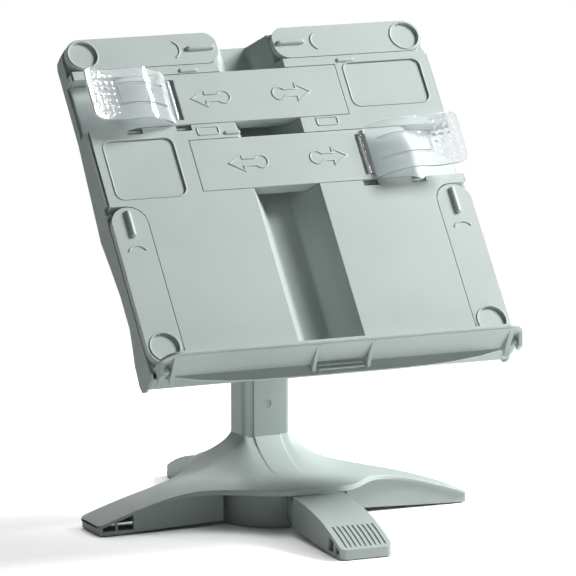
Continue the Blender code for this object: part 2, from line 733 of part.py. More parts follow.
def column_fittings():
    """Collar on the outer column and the knob that clamps the inner one."""
    outer = slab(*column_size(-SEAT_GAP - COLLAR_WALL), (0, COLUMN_Y))
    roof = COLUMN_TOP + SEAT_GAP
    collar = solid("column_collar", prism(outer, COLLAR_LOW, roof + COLLAR_ROOF), SAGE_DARK)
    cut(collar, prism(slab(*column_size(-SEAT_GAP), (0, COLUMN_Y)), COLLAR_LOW - OVERRUN, roof))
    cut(collar, prism(slab(*column_size(COLUMN_WALL + SEAT_GAP), (0, COLUMN_Y)), COLLAR_LOW, roof + OVERRUN))
    lock_face = COLUMN_Y + COLUMN_DEEP / 2 + LOCK_BOSS_DEEP
    nut_low = lock_face - NUT_DEEP
    bore = STUD_RADIUS + SEAT_GAP
    nut = ((bore, nut_low), (NUT_RADIUS, nut_low), (NUT_RADIUS, lock_face), (bore, lock_face))
    solid("stud_nut", turned(nut, "Y", (0, 0, LOCK_RISE)), BRASS)
    knob_face = lock_face + KNOB_GAP
    knob_outline = []
    for k in range(KNOB_FACETS):
        angle = math.tau * k / KNOB_FACETS
        radius = KNOB_RADIUS - KNOB_WAVE + KNOB_WAVE * math.cos(KNOB_LOBES * angle)
        knob_outline.append((radius * math.cos(angle), radius * math.sin(angle)))
    knob = solid("height_knob", prism(knob_outline, knob_face, knob_face + KNOB_DEEP, "Y"), SAGE_DARK,
                 place=(0, 0, LOCK_RISE))
    cut(knob, rod(bore, knob_face - OVERRUN, knob_face + KNOB_BORE_DEEP, "Y"))
    stud_low = COLUMN_Y + column_size(COLUMN_WALL + RUN_GAP)[1] + SEAT_GAP
    stud_top = knob_face + KNOB_BORE_DEEP - SEAT_GAP
    solid("height_stud", rod(STUD_RADIUS, stud_low, stud_top, "Y"), STEEL, place=(0, 0, LOCK_RISE))


def mast(frame):
    """Inner column with the tilt head in its top, and the pin through the head's ears."""
    wall = COLUMN_WALL + RUN_GAP
    tube = solid("inner_column", prism(slab(*column_size(wall)), TUBE_LOW, TUBE_TOP), SAGE, frame)
    cut(tube, prism(slab(*column_size(wall + TUBE_WALL)), TUBE_LOW - OVERRUN, TUBE_TOP + OVERRUN))
    head = solid("tilt_head", prism(slab(*column_size(wall - HEAD_LIP)), TUBE_TOP + SEAT_GAP, HEAD_TOP),
                 SAGE_DARK, frame)
    plug = slab(*column_size(wall + TUBE_WALL + SEAT_GAP))
    add(head, prism(plug, TUBE_TOP - PLUG_DEEP, TUBE_TOP + SEAT_GAP + SINK))
    ear = [(EAR_RADIUS, HEAD_TOP - SINK)]
    half_turn = ROD_SIDES // 2
    for k in range(half_turn + 1):
        angle = math.pi * k / half_turn
        ear.append((EAR_RADIUS * math.cos(angle), HINGE_RISE + EAR_RADIUS * math.sin(angle)))
    ear.append((-EAR_RADIUS, HEAD_TOP - SINK))
    outer = EAR_INNER + EAR_THICK
    add(head, prism(ear, -outer, -EAR_INNER, "X"), prism(ear, EAR_INNER, outer, "X"))
    bore = PIN_RADIUS + SEAT_GAP
    axis = (0, 0, HINGE_RISE)
    cut(head, rod(bore, -outer - OVERRUN, outer + OVERRUN, "X", axis))
    start = -outer - SEAT_GAP
    end = outer + SEAT_GAP + PIN_HEAD_THICK
    pin = ((0, start - PIN_HEAD_THICK), (PIN_HEAD, start - PIN_HEAD_THICK), (PIN_HEAD, start),
           (PIN_RADIUS, start),
           (PIN_RADIUS, end), (0, end))
    solid("tilt_pin", turned(pin, "X"), STEEL, frame, axis)
    nut = solid("tilt_nut", rod(PIN_HEAD, outer + SEAT_GAP, end, "X", sides=6), STEEL, frame, axis)
    cut(nut, rod(bore, outer, end + OVERRUN, "X"))
    for name, side in (("left", -1), ("right", 1)):
        near = side * (BARREL_HALF + SEAT_GAP)
        far = near + side * WASHER_THICK
        washer = ((bore, near), (BARREL_RADIUS, near), (BARREL_RADIUS, far), (bore, far))
        solid(f"tilt_washer_{name}", turned(washer, "X"), STEEL, frame, axis)


def hinge(axis_frame):
    """Hinge plate behind the trough, turning on the tilt pin, with its four screws."""
    top = -AXIS_C - TROUGH_DEEP - PLATE - SEAT_GAP
    low = top - HINGE_PLATE_THICK
    body = solid("hinge_plate", prism(slab(HINGE_PLATE_HALF, HINGE_PLATE_LONG, PAD_CORNER), low, top),
                 SAGE_DARK, axis_frame)
    web_half = BARREL_HALF - SINK
    add(body, box(-web_half, web_half, -HINGE_WEB, HINGE_WEB, BARREL_RADIUS / 2, low + SINK))
    add(body, rod(BARREL_RADIUS, -BARREL_HALF, BARREL_HALF, "X"))
    cut(body, rod(PIN_RADIUS + SEAT_GAP, -BARREL_HALF - OVERRUN, BARREL_HALF + OVERRUN, "X"))
    places = [(a, b) for a in (-TILT_SCREW_A, TILT_SCREW_A) for b in (-TILT_SCREW_B, TILT_SCREW_B)]
    cut(body, *[rod(SCREW_RADIUS + SEAT_GAP, low - OVERRUN, top + OVERRUN, centre=(a, b, 0))
                for a, b in places])
    tip = top + TILT_SCREW_REACH
    for number, (a, b) in enumerate(places, 1):
        screw = cap_screw(TILT_SCREW_HEAD, SHELL_HEAD_DEEP, low - SEAT_GAP, tip)
        solid(f"tilt_screw_{number}", screw, STEEL, axis_frame, (a, b, 0))
    return [(a, AXIS_B + b) for a, b in places]


def cap_screw(head, deep, seat, tip):
    """Screw pointing up, its head under the seat level."""
    outline = ((0, seat - deep), (head, seat - deep), (head, seat), (SCREW_RADIUS, seat),
               (SCREW_RADIUS, tip), (0, tip))
    return turned(outline, sides=ROD_SIDES // 2)


column_fittings()
mast_frame = empty("mast_frame", place=(0, COLUMN_Y, 0))
mast(mast_frame)
tilt_frame = empty("tilt_frame", mast_frame, (0, 0, HINGE_RISE), (math.pi / 2 - LEAN_ANGLE, 0, 0))
panel_frame = empty("panel_frame", tilt_frame, (0, -AXIS_B, -AXIS_C))
tilt_holes = hinge(tilt_frame)


def trough(wall, top, soft):
    """Cross-section of the middle trough, grown by a wall."""
    slope = (TROUGH_HALF - TROUGH_FLOOR_HALF) / TROUGH_DEEP
    grow = wall * math.sqrt(1 + slope ** 2)
    low = -TROUGH_DEEP - wall
    half_low = TROUGH_FLOOR_HALF + grow - slope * wall
    half_top = TROUGH_HALF + grow + slope * top
    points = ((-half_top, top), (-half_low, low), (half_low, low), (half_top, top))
    return rounded(points, (0, soft, soft, 0))


def channel(wall, side):
    """Plan of a bar's channel, open at its outer end, grown by a wall."""
    half = BAR_SIDE + CHANNEL_GAP + wall
    inner = BAR_INNER + CHANNEL_GAP + wall
    outer = FACE_HALF if wall else FACE_HALF + OVERRUN
    middle = BAR_UPPER_B if side < 0 else BAR_LOWER_B
    low, high = sorted((side * outer, -side * inner))
    return (low, high, middle - half, middle + half)


def front_plate(parent):
    """Face of the panel with its trough, bar channels and arm recesses, one moulding."""
    plan = rounded(((-FACE_HALF, FACE_LOW), (FACE_HALF, FACE_LOW), (FACE_HALF, FACE_HIGH),
                    (-FACE_HALF, FACE_HIGH)),
                   (0, 0, FACE_CORNER, FACE_CORNER))
    body = solid("front_plate", prism(plan, -PLATE, 0), SAGE, parent)
    rest = -PLATE / 2
    floor = -RECESS_DEEP - PLATE
    upper_edge = PIVOT_HIGH - UPPER_SIDE - RUN_GAP
    lower_edge = PIVOT_HALF - LOWER_SIDE - RUN_GAP
    lower_top = LOWER_FREE + SINK
    reach = FACE_HALF + OVERRUN
    add(body, box(-FACE_HALF, FACE_HALF, upper_edge - PLATE, FACE_HIGH, floor, rest))
    for side in (-1, 1):
        low, high = span(side * (lower_edge - PLATE), side * FACE_HALF)
        add(body, box(low, high, FACE_LOW, lower_top + PLATE, floor, rest))
    for side in (-1, 1):
        low, high, near, far = channel(PLATE, side)
        add(body, box(low, high, near, far, -CHANNEL_DEEP - CHANNEL_FLOOR, rest))
    add(body, prism(trough(PLATE, rest, TROUGH_BACK), FACE_LOW, FACE_HIGH, "Y"))
    trim(body, prism(plan, -TROUGH_DEEP - PLATE - OVERRUN, OVERRUN))
    add(body, *[rod(BOSS_RADIUS, SHELL_FACE + SEAT_GAP, rest, centre=(side * a, b, 0))
                for side in (-1, 1) for a, b in BOSS_PLACES])
    cut(body, box(-reach, reach, upper_edge, FACE_HIGH + OVERRUN, -RECESS_DEEP, OVERRUN))
    for side in (-1, 1):
        corners = ((side * lower_edge, FACE_LOW - OVERRUN), (side * reach, FACE_LOW - OVERRUN),
                   (side * reach, lower_top), (side * lower_edge, lower_top))
        cut(body, prism(rounded(corners, (0, 0, 0, RECESS_CORNER)), -RECESS_DEEP, OVERRUN))
        low, high, near, far = channel(0, side)
        cut(body, box(low, high, near, far, -CHANNEL_DEEP, OVERRUN))
    cut(body, prism(trough(0, OVERRUN, TROUGH_SOFT), FACE_LOW - OVERRUN, FACE_HIGH + OVERRUN, "Y"))
    bore = SPIGOT_RADIUS + SEAT_GAP
    cut(body, *[rod(bore, floor - OVERRUN, 0, centre=(side * PIVOT_HALF, b, 0))
                for side in (-1, 1) for b in (0, PIVOT_HIGH)])
    slot = KEEPER_SHANK + RUN_GAP
    for side in (-1, 1):
        middle = BAR_UPPER_B if side < 0 else BAR_LOWER_B
        low, high = span(side * KEEPER_A, side * (KEEPER_A + BAR_TRAVEL))
        outline = slab((high - low) / 2 + slot, slot, slot - SEAT_GAP, ((low + high) / 2, middle))
        cut(body, prism(outline, -CHANNEL_DEEP - CHANNEL_FLOOR - OVERRUN, -CHANNEL_DEEP + OVERRUN))
    cut(body, *[rod(SCREW_RADIUS + SEAT_GAP, SHELL_FACE - OVERRUN, SHELL_FACE + BOSS_HOLE_DEEP,
                    centre=(side * a, b, 0)) for side in (-1, 1) for a, b in BOSS_PLACES])
    tilt_deep = -TROUGH_DEEP - PLATE
    cut(body, *[rod(SCREW_RADIUS + SEAT_GAP, tilt_deep - OVERRUN, tilt_deep + TILT_SCREW_REACH,
                    centre=(a, b, 0)) for a, b in tilt_holes])
    for low, high, near, far in (UPPER_PAD_RECESS, LOWER_PAD_RECESS):
        outline = slab((high - low) / 2, (far - near) / 2, PAD_RECESS_CORNER,
                       ((low + high) / 2, (near + far) / 2))
        cut(body, prism(outline, -PAD_RECESS_DEEP, OVERRUN))
    for side in (-1, 1):
        near, far = channel(0, side)[2:]
        notches = []
        for start, end in NOTCH_SPANS:
            low, high = span(side * start, side * end)
            notches.append(box(low, high, near - NOTCH_REACH, near + OVERRUN, -NOTCH_DEEP, OVERRUN))
        cut(body, *notches)
    return body


def rear_shell(parent):
    """Back of the panel: floor, rim walls, side fins and the ears of the ledge hinge."""
    corners = ((-SHELL_HALF, SHELL_LOW), (SHELL_HALF, SHELL_LOW), (SHELL_HALF, SHELL_HIGH),
               (-SHELL_HALF, SHELL_HIGH))
    radii = (SHELL_FOOT_CORNER, SHELL_FOOT_CORNER, SHELL_CORNER, SHELL_CORNER)
    outer = rounded(corners, radii)
    back = SHELL_FACE - SHELL_THICK
    body = solid("rear_shell", prism(outer, back, -SHELL_RIM), SAGE, parent)
    cut(body, prism(inset(outer, SHELL_WALL), SHELL_FACE, OVERRUN))
    height = SHELL_HIGH - SHELL_LOW
    fin = [(SHELL_LOW + rise * height, -FIN_DEEP * deep) for rise, deep in FIN_SHARES]
    inner = SHELL_HALF - SHELL_WALL
    add(body, prism(fin, -SHELL_HALF, -inner, "X"), prism(fin, inner, SHELL_HALF, "X"))
    reach = SHELL_HALF + OVERRUN
    upper_edge = PIVOT_HIGH - UPPER_SIDE - RUN_GAP
    cut(body, box(-reach, reach, upper_edge - PLATE, SHELL_HIGH + OVERRUN, -SHELL_ARM_RIM, OVERRUN))
    cut(body, box(-reach, reach, SHELL_LOW - OVERRUN, SHELL_LOW + SHELL_WALL + OVERRUN, -SHELL_FOOT_RIM,
                  OVERRUN))
    for side in (-1, 1):
        low, high = span(side * (inner - OVERRUN), side * reach)
        cut(body, box(low, high, SHELL_LOW + SHELL_WALL, LOWER_FREE + SINK + PLATE, -SHELL_ARM_RIM, OVERRUN))
        near, far = channel(0, side)[2:]
        cut(body, box(low, high, near, far, -CHANNEL_DEEP - SEAT_GAP, OVERRUN))
    gate = TROUGH_HALF + PLATE + RUN_GAP
    cut(body, box(-gate, gate, FACE_HIGH, SHELL_HIGH + OVERRUN, SHELL_FACE, OVERRUN))
    cut(body, box(-SHELL_SLOT, SHELL_SLOT, SHELL_SLOT_LOW, SHELL_HIGH + OVERRUN, back - OVERRUN,
                  SHELL_FACE + SINK))
    radius = LEDGE_EAR_RADIUS
    ear = [(SHELL_LOW, SHELL_FACE - SINK), (LEDGE_B + radius, SHELL_FACE - SINK)]
    half_turn = ROD_SIDES // 2
    for k in range(half_turn + 1):
        angle = math.pi * k / half_turn
        ear.append((LEDGE_B + radius * math.cos(angle), LEDGE_C + radius * math.sin(angle)))
    start, end = EAR_SPAN
    add(body, prism(ear, start, end, "X"), prism(ear, -end, -start, "X"))
    hinge_bore = rod(LEDGE_PIN + SEAT_GAP, -reach, reach, "X", (0, LEDGE_B, LEDGE_C))
    cut(body, hinge_bore)
    places = [(side * a, b) for side in (-1, 1) for a, b in BOSS_PLACES]
    bore = SCREW_RADIUS + SEAT_GAP
    cut(body, *[rod(bore, back - OVERRUN, SHELL_FACE + OVERRUN, centre=(a, b, 0)) for a, b in places])
    for number, (a, b) in enumerate(places, 1):
        screw = cap_screw(SHELL_HEAD, SHELL_HEAD_DEEP, back - SEAT_GAP, SHELL_FACE + BOSS_HOLE_DEEP - RUN_GAP)
        solid(f"shell_screw_{number}", screw, STEEL, parent, (a, b, 0))
    return body


def bar(name, middle, turn, parent):
    """Sliding bar; the lower one is the upper one turned by half a turn."""
    outline = [(BAR_INNER, -BAR_DEEP), (BAR_INNER, 0), (-RAMP_START, 0)]
    outline += [(-a, -deep) for a, deep in (RAMP_MID, RAMP_FOOT, RAMP_END)]
    outline += [(-BAR_OUTER, -RAMP_END[1] - SINK), (-BAR_OUTER, -BAR_DEEP)]
    body = solid(name, prism(outline, -BAR_SIDE, BAR_SIDE, "Y"), SAGE, parent, (0, middle, 0))
    body.rotation_euler = (0, 0, turn)
    inner = BAR_INNER - BAR_SKIN
    end = RAMP_FOOT[0] - BAR_SKIN
    hollow = ((inner, -BAR_DEEP - OVERRUN), (inner, -BAR_SKIN), (-RAMP_START, -BAR_SKIN),
              (-RAMP_MID[0], -RAMP_MID[1] - BAR_SKIN), (-end, -BAR_DEEP - OVERRUN))
    cut(body, prism(hollow, BAR_SKIN - BAR_SIDE, BAR_SIDE - BAR_SKIN, "Y"))
    block_side = BAR_SIDE - SINK
    add(body, box(-CLIP_A - CLIP_BLOCK, -CLIP_A + CLIP_BLOCK, -block_side, block_side, -CLIP_BLOCK_DEEP,
                  -SINK))
    groove_low = CLIP_C - CLIP_BARREL - RUN_GAP
    groove_half = CLIP_BARREL_HALF + SEAT_GAP
    cut(body, box(-CLIP_A - CLIP_GROOVE, -CLIP_A + CLIP_GROOVE, -groove_half, groove_half, groove_low,
                  OVERRUN))
    place = (-CLIP_A, 0, CLIP_C)
    cut(body, rod(CLIP_PIN + SEAT_GAP, -BAR_SIDE - OVERRUN, BAR_SIDE + OVERRUN, "Y", place, ROD_SIDES // 2))
    shank_end = -CHANNEL_DEEP - CHANNEL_FLOOR - SEAT_GAP
    add(body, rod(KEEPER_SHANK, shank_end, -SINK, centre=(-KEEPER_A, 0, 0)))
    cut(body, rod(SCREW_RADIUS + SEAT_GAP, shank_end - OVERRUN, shank_end + BOSS_HOLE_DEEP,
                  centre=(-KEEPER_A, 0, 0)))
    washer_top = shank_end - SEAT_GAP
    washer_low = washer_top - KEEPER_WASHER_THICK
    head_low = washer_low - KEEPER_HEAD_DEEP
    tip = shank_end + BOSS_HOLE_DEEP - RUN_GAP
    keeper = ((0, head_low), (KEEPER_HEAD, head_low), (KEEPER_HEAD, washer_low), (KEEPER_WASHER, washer_low),
              (KEEPER_WASHER, washer_top), (SCREW_RADIUS, washer_top), (SCREW_RADIUS, tip), (0, tip))
    solid(f"{name}_keeper", turned(keeper), STEEL, body, (-KEEPER_A, 0, 0))
    return body


def clip(name, bar_body):
    """Springy clear clip that swings up about a pin in the bar's groove."""
    place = (-CLIP_A, 0, CLIP_C)
    line = [Vector((-s * CLIP_REACH, rise * CLIP_RISE)) for s, rise in CLIP_SHARES]
    upper, lower = [], []
    for i, point in enumerate(line):
        along = (line[min(i + 1, len(line) - 1)] - line[max(i - 1, 0)]).normalized()
        normal = Vector((along.y, -along.x)) * CLIP_THICK / 2
        upper.append(tuple(point + normal))
        lower.append(tuple(point - normal))
    body = solid(name, prism(upper + lower[::-1], -BAR_SIDE, BAR_SIDE, "Y"), CLEAR, bar_body, place)
    near, wide = CLIP_BARREL_HALF - SEAT_GAP, BAR_SIDE
    back = CLIP_BARREL + SINK
    plan = ((-CLIP_REACH, -wide), (-CLIP_NECK, -wide), (-CLIP_NECK, -near), (back, -near), (back, near),
            (-CLIP_NECK, near), (-CLIP_NECK, wide), (-CLIP_REACH, wide))
    trim(body, prism(rounded(plan, (CLIP_CORNER, 0, 0, 0, 0, 0, 0, CLIP_CORNER)), -CLIP_RISE, CLIP_RISE * 2))
    add(body, rod(CLIP_BARREL, -CLIP_BARREL_HALF, CLIP_BARREL_HALF, "Y"))
    cut(body, rod(CLIP_PIN + SEAT_GAP, -CLIP_BARREL_HALF - OVERRUN, CLIP_BARREL_HALF + OVERRUN, "Y",
                  sides=ROD_SIDES // 2))
    start, end = TONGUE_SPAN
    inner = TONGUE_HALF - TONGUE_SLIT
    slit = ((-start, -TONGUE_HALF), (-start, -inner), (-end + TONGUE_SLIT, -inner),
            (-end + TONGUE_SLIT, inner),
            (-start, inner), (-start, TONGUE_HALF), (-end, TONGUE_HALF), (-end, -TONGUE_HALF))
    cut(body, prism(slit, -CLIP_RISE, CLIP_RISE * 2))
    pin = rod(CLIP_PIN, -CLIP_PIN_HALF, CLIP_PIN_HALF, "Y", sides=ROD_SIDES // 2)
    solid(f"{name}_pin", pin, STEEL, bar_body, place)
    return body


def holder_arm(name, length, half, tips, place, turn, parent):
    """Fold-out arm from its pivot along local +X, with a radius for each free corner."""
    outline = rounded([(-half, -half), (length, -half), (length, half), (-half, half)],
                      (half - SEAT_GAP, *tips, half - SEAT_GAP), ROUND_END_STEPS)
    body = solid(name, prism(outline, -ARM_THICK, 0), SAGE, parent, place)
    body.rotation_euler = (0, 0, turn)
    cut(body, prism(inset(outline, ARM_SKIN), -ARM_THICK - OVERRUN, -ARM_SKIN))
    add(body, rod(ARM_BOSS, -ARM_THICK, -ARM_SKIN / 2))
    add(body, rod(SPIGOT_RADIUS, -SPIGOT_DEEP, -ARM_THICK + SINK))
    cut(body, rod(SCREW_RADIUS + SEAT_GAP, -SPIGOT_DEEP - OVERRUN, -SPIGOT_DEEP + SCREW_REACH + SEAT_GAP,
                  sides=ROD_SIDES // 2))
    cut(body, rod(DISC_RADIUS, -DISC_DEEP, OVERRUN))
    end = length - RIB_INSET
    add(body, box(end - RIB_HALF * 2, end, -RIB_THICK / 2, RIB_THICK / 2, -SINK, RIB_PROUD))
    flange_top = -SPIGOT_DEEP - SEAT_GAP
    flange_low = flange_top - ARM_FLANGE_THICK
    head_low = flange_low - ARM_HEAD_DEEP
    tip = -SPIGOT_DEEP + SCREW_REACH
    screw = ((0, head_low), (ARM_HEAD, head_low), (ARM_HEAD, flange_low), (ARM_FLANGE, flange_low),
             (ARM_FLANGE, flange_top), (SCREW_RADIUS, flange_top), (SCREW_RADIUS, tip), (0, tip))
    solid(f"{name}_screw", turned(screw), STEEL, body)
    return body


def ledge(parent):
    """Book ledge with its skirt and gussets, hinged on two pins in the shell's ears."""
    place = (0, LEDGE_B, LEDGE_C)
    back = LEDGE_BACK - LEDGE_C
    front = LEDGE_FRONT - LEDGE_C
    top = LEDGE_TOP - LEDGE_B
    under = top - LEDGE_THICK
    plan = rounded(((-LEDGE_HALF, back), (LEDGE_HALF, back), (LEDGE_HALF, front), (-LEDGE_HALF, front)),
                   (0, 0, LEDGE_CORNER, LEDGE_CORNER))
    body = solid("ledge", prism(plan, under, top, "Y"), SAGE, parent, place)
    skirt = [(-SKIRT_HALF, under + SINK), (SKIRT_HALF, under + SINK)]
    for k in range(SKIRT_STEPS + 1):
        share = 1 - 2 * k / SKIRT_STEPS
        drop = SKIRT_END + (SKIRT_LOW - SKIRT_END) * (1 - abs(share) ** SKIRT_CURVE_POWER)
        skirt.append((share * SKIRT_HALF, -drop))
    add(body, prism(skirt, back, back + SKIRT_THICK))
    nose = front - LEDGE_THICK
    pin_reach = LEDGE_EAR_RADIUS + LEDGE_THICK
    rib = ((under + SINK, back + SINK), (under + SINK, nose), (-pin_reach, -LEDGE_THICK),
           (SKIRT_THICK - SKIRT_LOW, back + SINK))
    gussets = []
    for side in (-1, 1):
        low, high = span(side * GUSSET_A, side * (GUSSET_A + GUSSET_THICK))
        gussets.append(prism(rib, low, high, "X"))
    add(body, *gussets)
    add(body, *[prism(rib, *span(side * PIN_GUSSET[0], side * PIN_GUSSET[1]), "X") for side in (-1, 1)])
    step = -LEDGE_C + SINK
    end_gap = EAR_SPAN[0] - EAR_CLEAR
    for side in (-1, 1):
        low, high = span(side * end_gap, side * (LEDGE_HALF + OVERRUN))
        cut(body, box(low, high, under - OVERRUN, top + OVERRUN, back - OVERRUN, step))
        low, high = span(side * end_gap, side * (EAR_SPAN[1] + RUN_GAP))
        cut(body, box(low, high, under - OVERRUN, top + OVERRUN, step - OVERRUN, LEDGE_EAR_RADIUS + RUN_GAP))
    tab = ((under + SINK, step + SINK), (under + SINK, nose / 2), (-pin_reach, LEDGE_THICK),
           (-pin_reach, step + SINK))
    add(body, *[prism(tab, *span(side * END_PLATE[0], side * END_PLATE[1]), "X") for side in (-1, 1)])
    pin_end = END_PLATE[0] + LEDGE_PIN
    cut(body, rod(LEDGE_PIN + SEAT_GAP, -pin_end - SEAT_GAP, pin_end + SEAT_GAP, "X", sides=ROD_SIDES // 2))
    for name, side in (("left", -1), ("right", 1)):
        pin = rod(LEDGE_PIN, *span(side * PIN_GUSSET[0], side * pin_end), "X", sides=ROD_SIDES // 2)
        solid(f"ledge_pin_{name}", pin, STEEL, parent, place)
    return body


front_plate(panel_frame)
rear_shell(panel_frame)
upper_bar = bar("upper_bar", BAR_UPPER_B, 0, panel_frame)
lower_bar = bar("lower_bar", BAR_LOWER_B, math.pi, panel_frame)
clip("upper_clip", upper_bar)
clip("lower_clip", lower_bar)
upper_length = PIVOT_HALF - UPPER_FREE
left_tips = UPPER_TIP_CORNERS[::-1]
holder_arm("arm_upper_left", upper_length, UPPER_SIDE, left_tips, (-PIVOT_HALF, PIVOT_HIGH, 0), 0,
           panel_frame)
holder_arm("arm_upper_right", upper_length, UPPER_SIDE, UPPER_TIP_CORNERS, (PIVOT_HALF, PIVOT_HIGH, 0),
           math.pi, panel_frame)
lower_tips = (LOWER_SIDE - SEAT_GAP, LOWER_SIDE - SEAT_GAP)
holder_arm("arm_lower_left", LOWER_FREE, LOWER_SIDE, lower_tips, (-PIVOT_HALF, 0, 0), math.pi / 2,
           panel_frame)
holder_arm("arm_lower_right", LOWER_FREE, LOWER_SIDE, lower_tips, (PIVOT_HALF, 0, 0), math.pi / 2,
           panel_frame)
ledge(panel_frame)
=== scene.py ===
# %% [markdown]
# # Desktop reading rack
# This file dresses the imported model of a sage-green desktop book stand: a tilting panel with fold-out
# holders and clear page clips, on a telescopic column with a cross base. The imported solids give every
# place and joint. The cells below set up the camera and light, mix the plastics, and then make the
# visible surfaces one by one.

# %% Load the frame
import json

import bmesh
import bpy
import numpy as np
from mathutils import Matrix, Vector

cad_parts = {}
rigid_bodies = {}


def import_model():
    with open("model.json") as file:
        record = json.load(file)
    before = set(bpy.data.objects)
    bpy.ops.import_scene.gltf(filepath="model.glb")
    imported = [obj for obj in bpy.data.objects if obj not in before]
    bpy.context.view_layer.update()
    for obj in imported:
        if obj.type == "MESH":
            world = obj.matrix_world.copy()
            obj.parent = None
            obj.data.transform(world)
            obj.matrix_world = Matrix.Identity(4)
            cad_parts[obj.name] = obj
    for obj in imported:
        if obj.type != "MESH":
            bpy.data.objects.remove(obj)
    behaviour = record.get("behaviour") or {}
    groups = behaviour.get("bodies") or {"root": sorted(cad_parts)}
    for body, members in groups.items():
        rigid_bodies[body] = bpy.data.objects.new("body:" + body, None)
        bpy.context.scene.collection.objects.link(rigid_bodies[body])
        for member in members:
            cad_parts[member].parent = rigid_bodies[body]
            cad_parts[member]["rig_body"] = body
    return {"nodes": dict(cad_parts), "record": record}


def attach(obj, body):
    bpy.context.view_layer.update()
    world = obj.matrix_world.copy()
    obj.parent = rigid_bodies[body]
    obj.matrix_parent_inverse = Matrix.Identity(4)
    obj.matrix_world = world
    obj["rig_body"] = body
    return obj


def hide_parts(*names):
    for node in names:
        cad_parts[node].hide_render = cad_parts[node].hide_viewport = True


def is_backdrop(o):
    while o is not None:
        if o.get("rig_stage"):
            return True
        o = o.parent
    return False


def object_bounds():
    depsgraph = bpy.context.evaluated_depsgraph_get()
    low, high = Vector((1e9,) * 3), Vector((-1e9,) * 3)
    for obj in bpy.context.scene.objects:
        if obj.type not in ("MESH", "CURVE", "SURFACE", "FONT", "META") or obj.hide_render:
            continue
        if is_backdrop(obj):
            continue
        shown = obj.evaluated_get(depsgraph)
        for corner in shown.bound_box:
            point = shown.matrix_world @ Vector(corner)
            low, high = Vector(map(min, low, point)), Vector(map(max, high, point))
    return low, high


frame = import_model()
cad_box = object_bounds()
MM = 0.001

# %% [markdown]
# ## Camera
# The product was photographed from nearly five metres away with a long lens, a little to its left and a
# little above. A long lens keeps the panel's edges almost parallel. The camera is placed by its target,
# its two angles and its distance, so that each of these can be changed without disturbing the others.

# %% Camera
VIEW_SIDE = np.radians(24.2)
VIEW_DOWN = np.radians(10.2)
VIEW_TARGET = Vector((0.0248, 0.031, 0.1776))
VIEW_DISTANCE = 4.8052
VIEW_LENS = 375.0
SENSOR = 36.0

forward = Vector((np.sin(VIEW_SIDE) * np.cos(VIEW_DOWN), np.cos(VIEW_SIDE) * np.cos(VIEW_DOWN),
                  -np.sin(VIEW_DOWN)))
scene = bpy.context.scene
camera = bpy.data.objects.new("camera", bpy.data.cameras.new("camera"))
scene.collection.objects.link(camera)
camera.data.lens = VIEW_LENS
camera.data.sensor_width = SENSOR
camera.data.clip_end = 2 * VIEW_DISTANCE
camera.location = VIEW_TARGET - forward * VIEW_DISTANCE
camera.rotation_euler = forward.to_track_quat("-Z", "Y").to_euler()
scene.camera = camera
scene.view_settings.view_transform = "Standard"
print("camera at", [round(c, 3) for c in camera.location])

# %% [markdown]
# ## Shader maths in Python
# A material is easier to read as a formula than as a drawing of boxes and wires. The class below wraps
# one output of a shader node. Adding to it or multiplying it adds the Math node that does so, and
# `Graph.node` adds any other node from its type, its settings and its inputs.

# %% Node expressions
class Signal:
    """One number that varies over a surface; arithmetic on it adds Math nodes."""

    def __init__(self, graph, socket):
        self.graph = graph
        self.socket = socket

    def math(self, operation, other, clamp=False):
        settings = {"operation": operation, "use_clamp": clamp}
        return self.graph.node("ShaderNodeMath", settings, {0: self, 1: other})

    def __add__(self, other):
        return self.math("ADD", other)

    def __mul__(self, other):
        return self.math("MULTIPLY", other)

    def clamp(self):
        """The same number, kept between 0 and 1."""
        return self.math("ADD", 0.0, clamp=True)

    def step(self, low, high):
        """Rises smoothly from 0 to 1 between two levels."""
        settings = {"interpolation_type": "SMOOTHSTEP"}
        inputs = {"Value": self, "From Min": low, "From Max": high}
        return self.graph.node("ShaderNodeMapRange", settings, inputs)


class Graph:
    """A material's node tree."""

    sockets = {"colour": "Base Color", "roughness": "Roughness", "normal": "Normal"}

    def __init__(self, name):
        self.material = bpy.data.materials.new(name)
        self.material.use_nodes = True
        self.tree = self.material.node_tree
        self.shader = self.tree.nodes["Principled BSDF"]

    def node(self, kind, settings=None, inputs=None, output=0):
        """New node of a kind, with its settings and its inputs; gives one of its outputs."""
        made = self.tree.nodes.new(kind)
        for key, value in (settings or {}).items():
            setattr(made, key, value)
        for key, value in (inputs or {}).items():
            self.feed(made.inputs[key], value)
        return Signal(self, made.outputs[output])

    def feed(self, socket, value):
        if isinstance(value, Signal):
            self.tree.links.new(value.socket, socket)
        else:
            socket.default_value = value

    def place(self):
        return self.node("ShaderNodeTexCoord", output="Object")

    def noise(self, scale, detail, roughness, place):
        inputs = {"Vector": place, "Scale": scale, "Detail": detail, "Roughness": roughness}
        return self.node("ShaderNodeTexNoise", {}, inputs, "Fac")

    def mix(self, factor, first, second):
        """Blend of two colours."""
        return self.node("ShaderNodeMix", {"data_type": "RGBA"}, {0: factor, 6: first, 7: second}, output=2)

    def bump(self, height, distance, strength):
        inputs = {"Height": height, "Distance": distance, "Strength": strength}
        return self.node("ShaderNodeBump", {}, inputs)

    def set(self, **signals):
        """Varying values for the shader."""
        for key, value in signals.items():
            self.feed(self.shader.inputs[self.sockets[key]], value)

    def fix(self, name, value):
        """One uniform value for the shader."""
        self.shader.inputs[name].default_value = value


def rgba(red, green, blue):
    """Linear colour from the 0 to 255 numbers of a colour picker."""
    share = np.array([red, green, blue]) / 255
    linear = np.where(share <= 0.04045, share / 12.92, ((share + 0.055) / 1.055) ** 2.4)
    return (*linear.tolist(), 1.0)


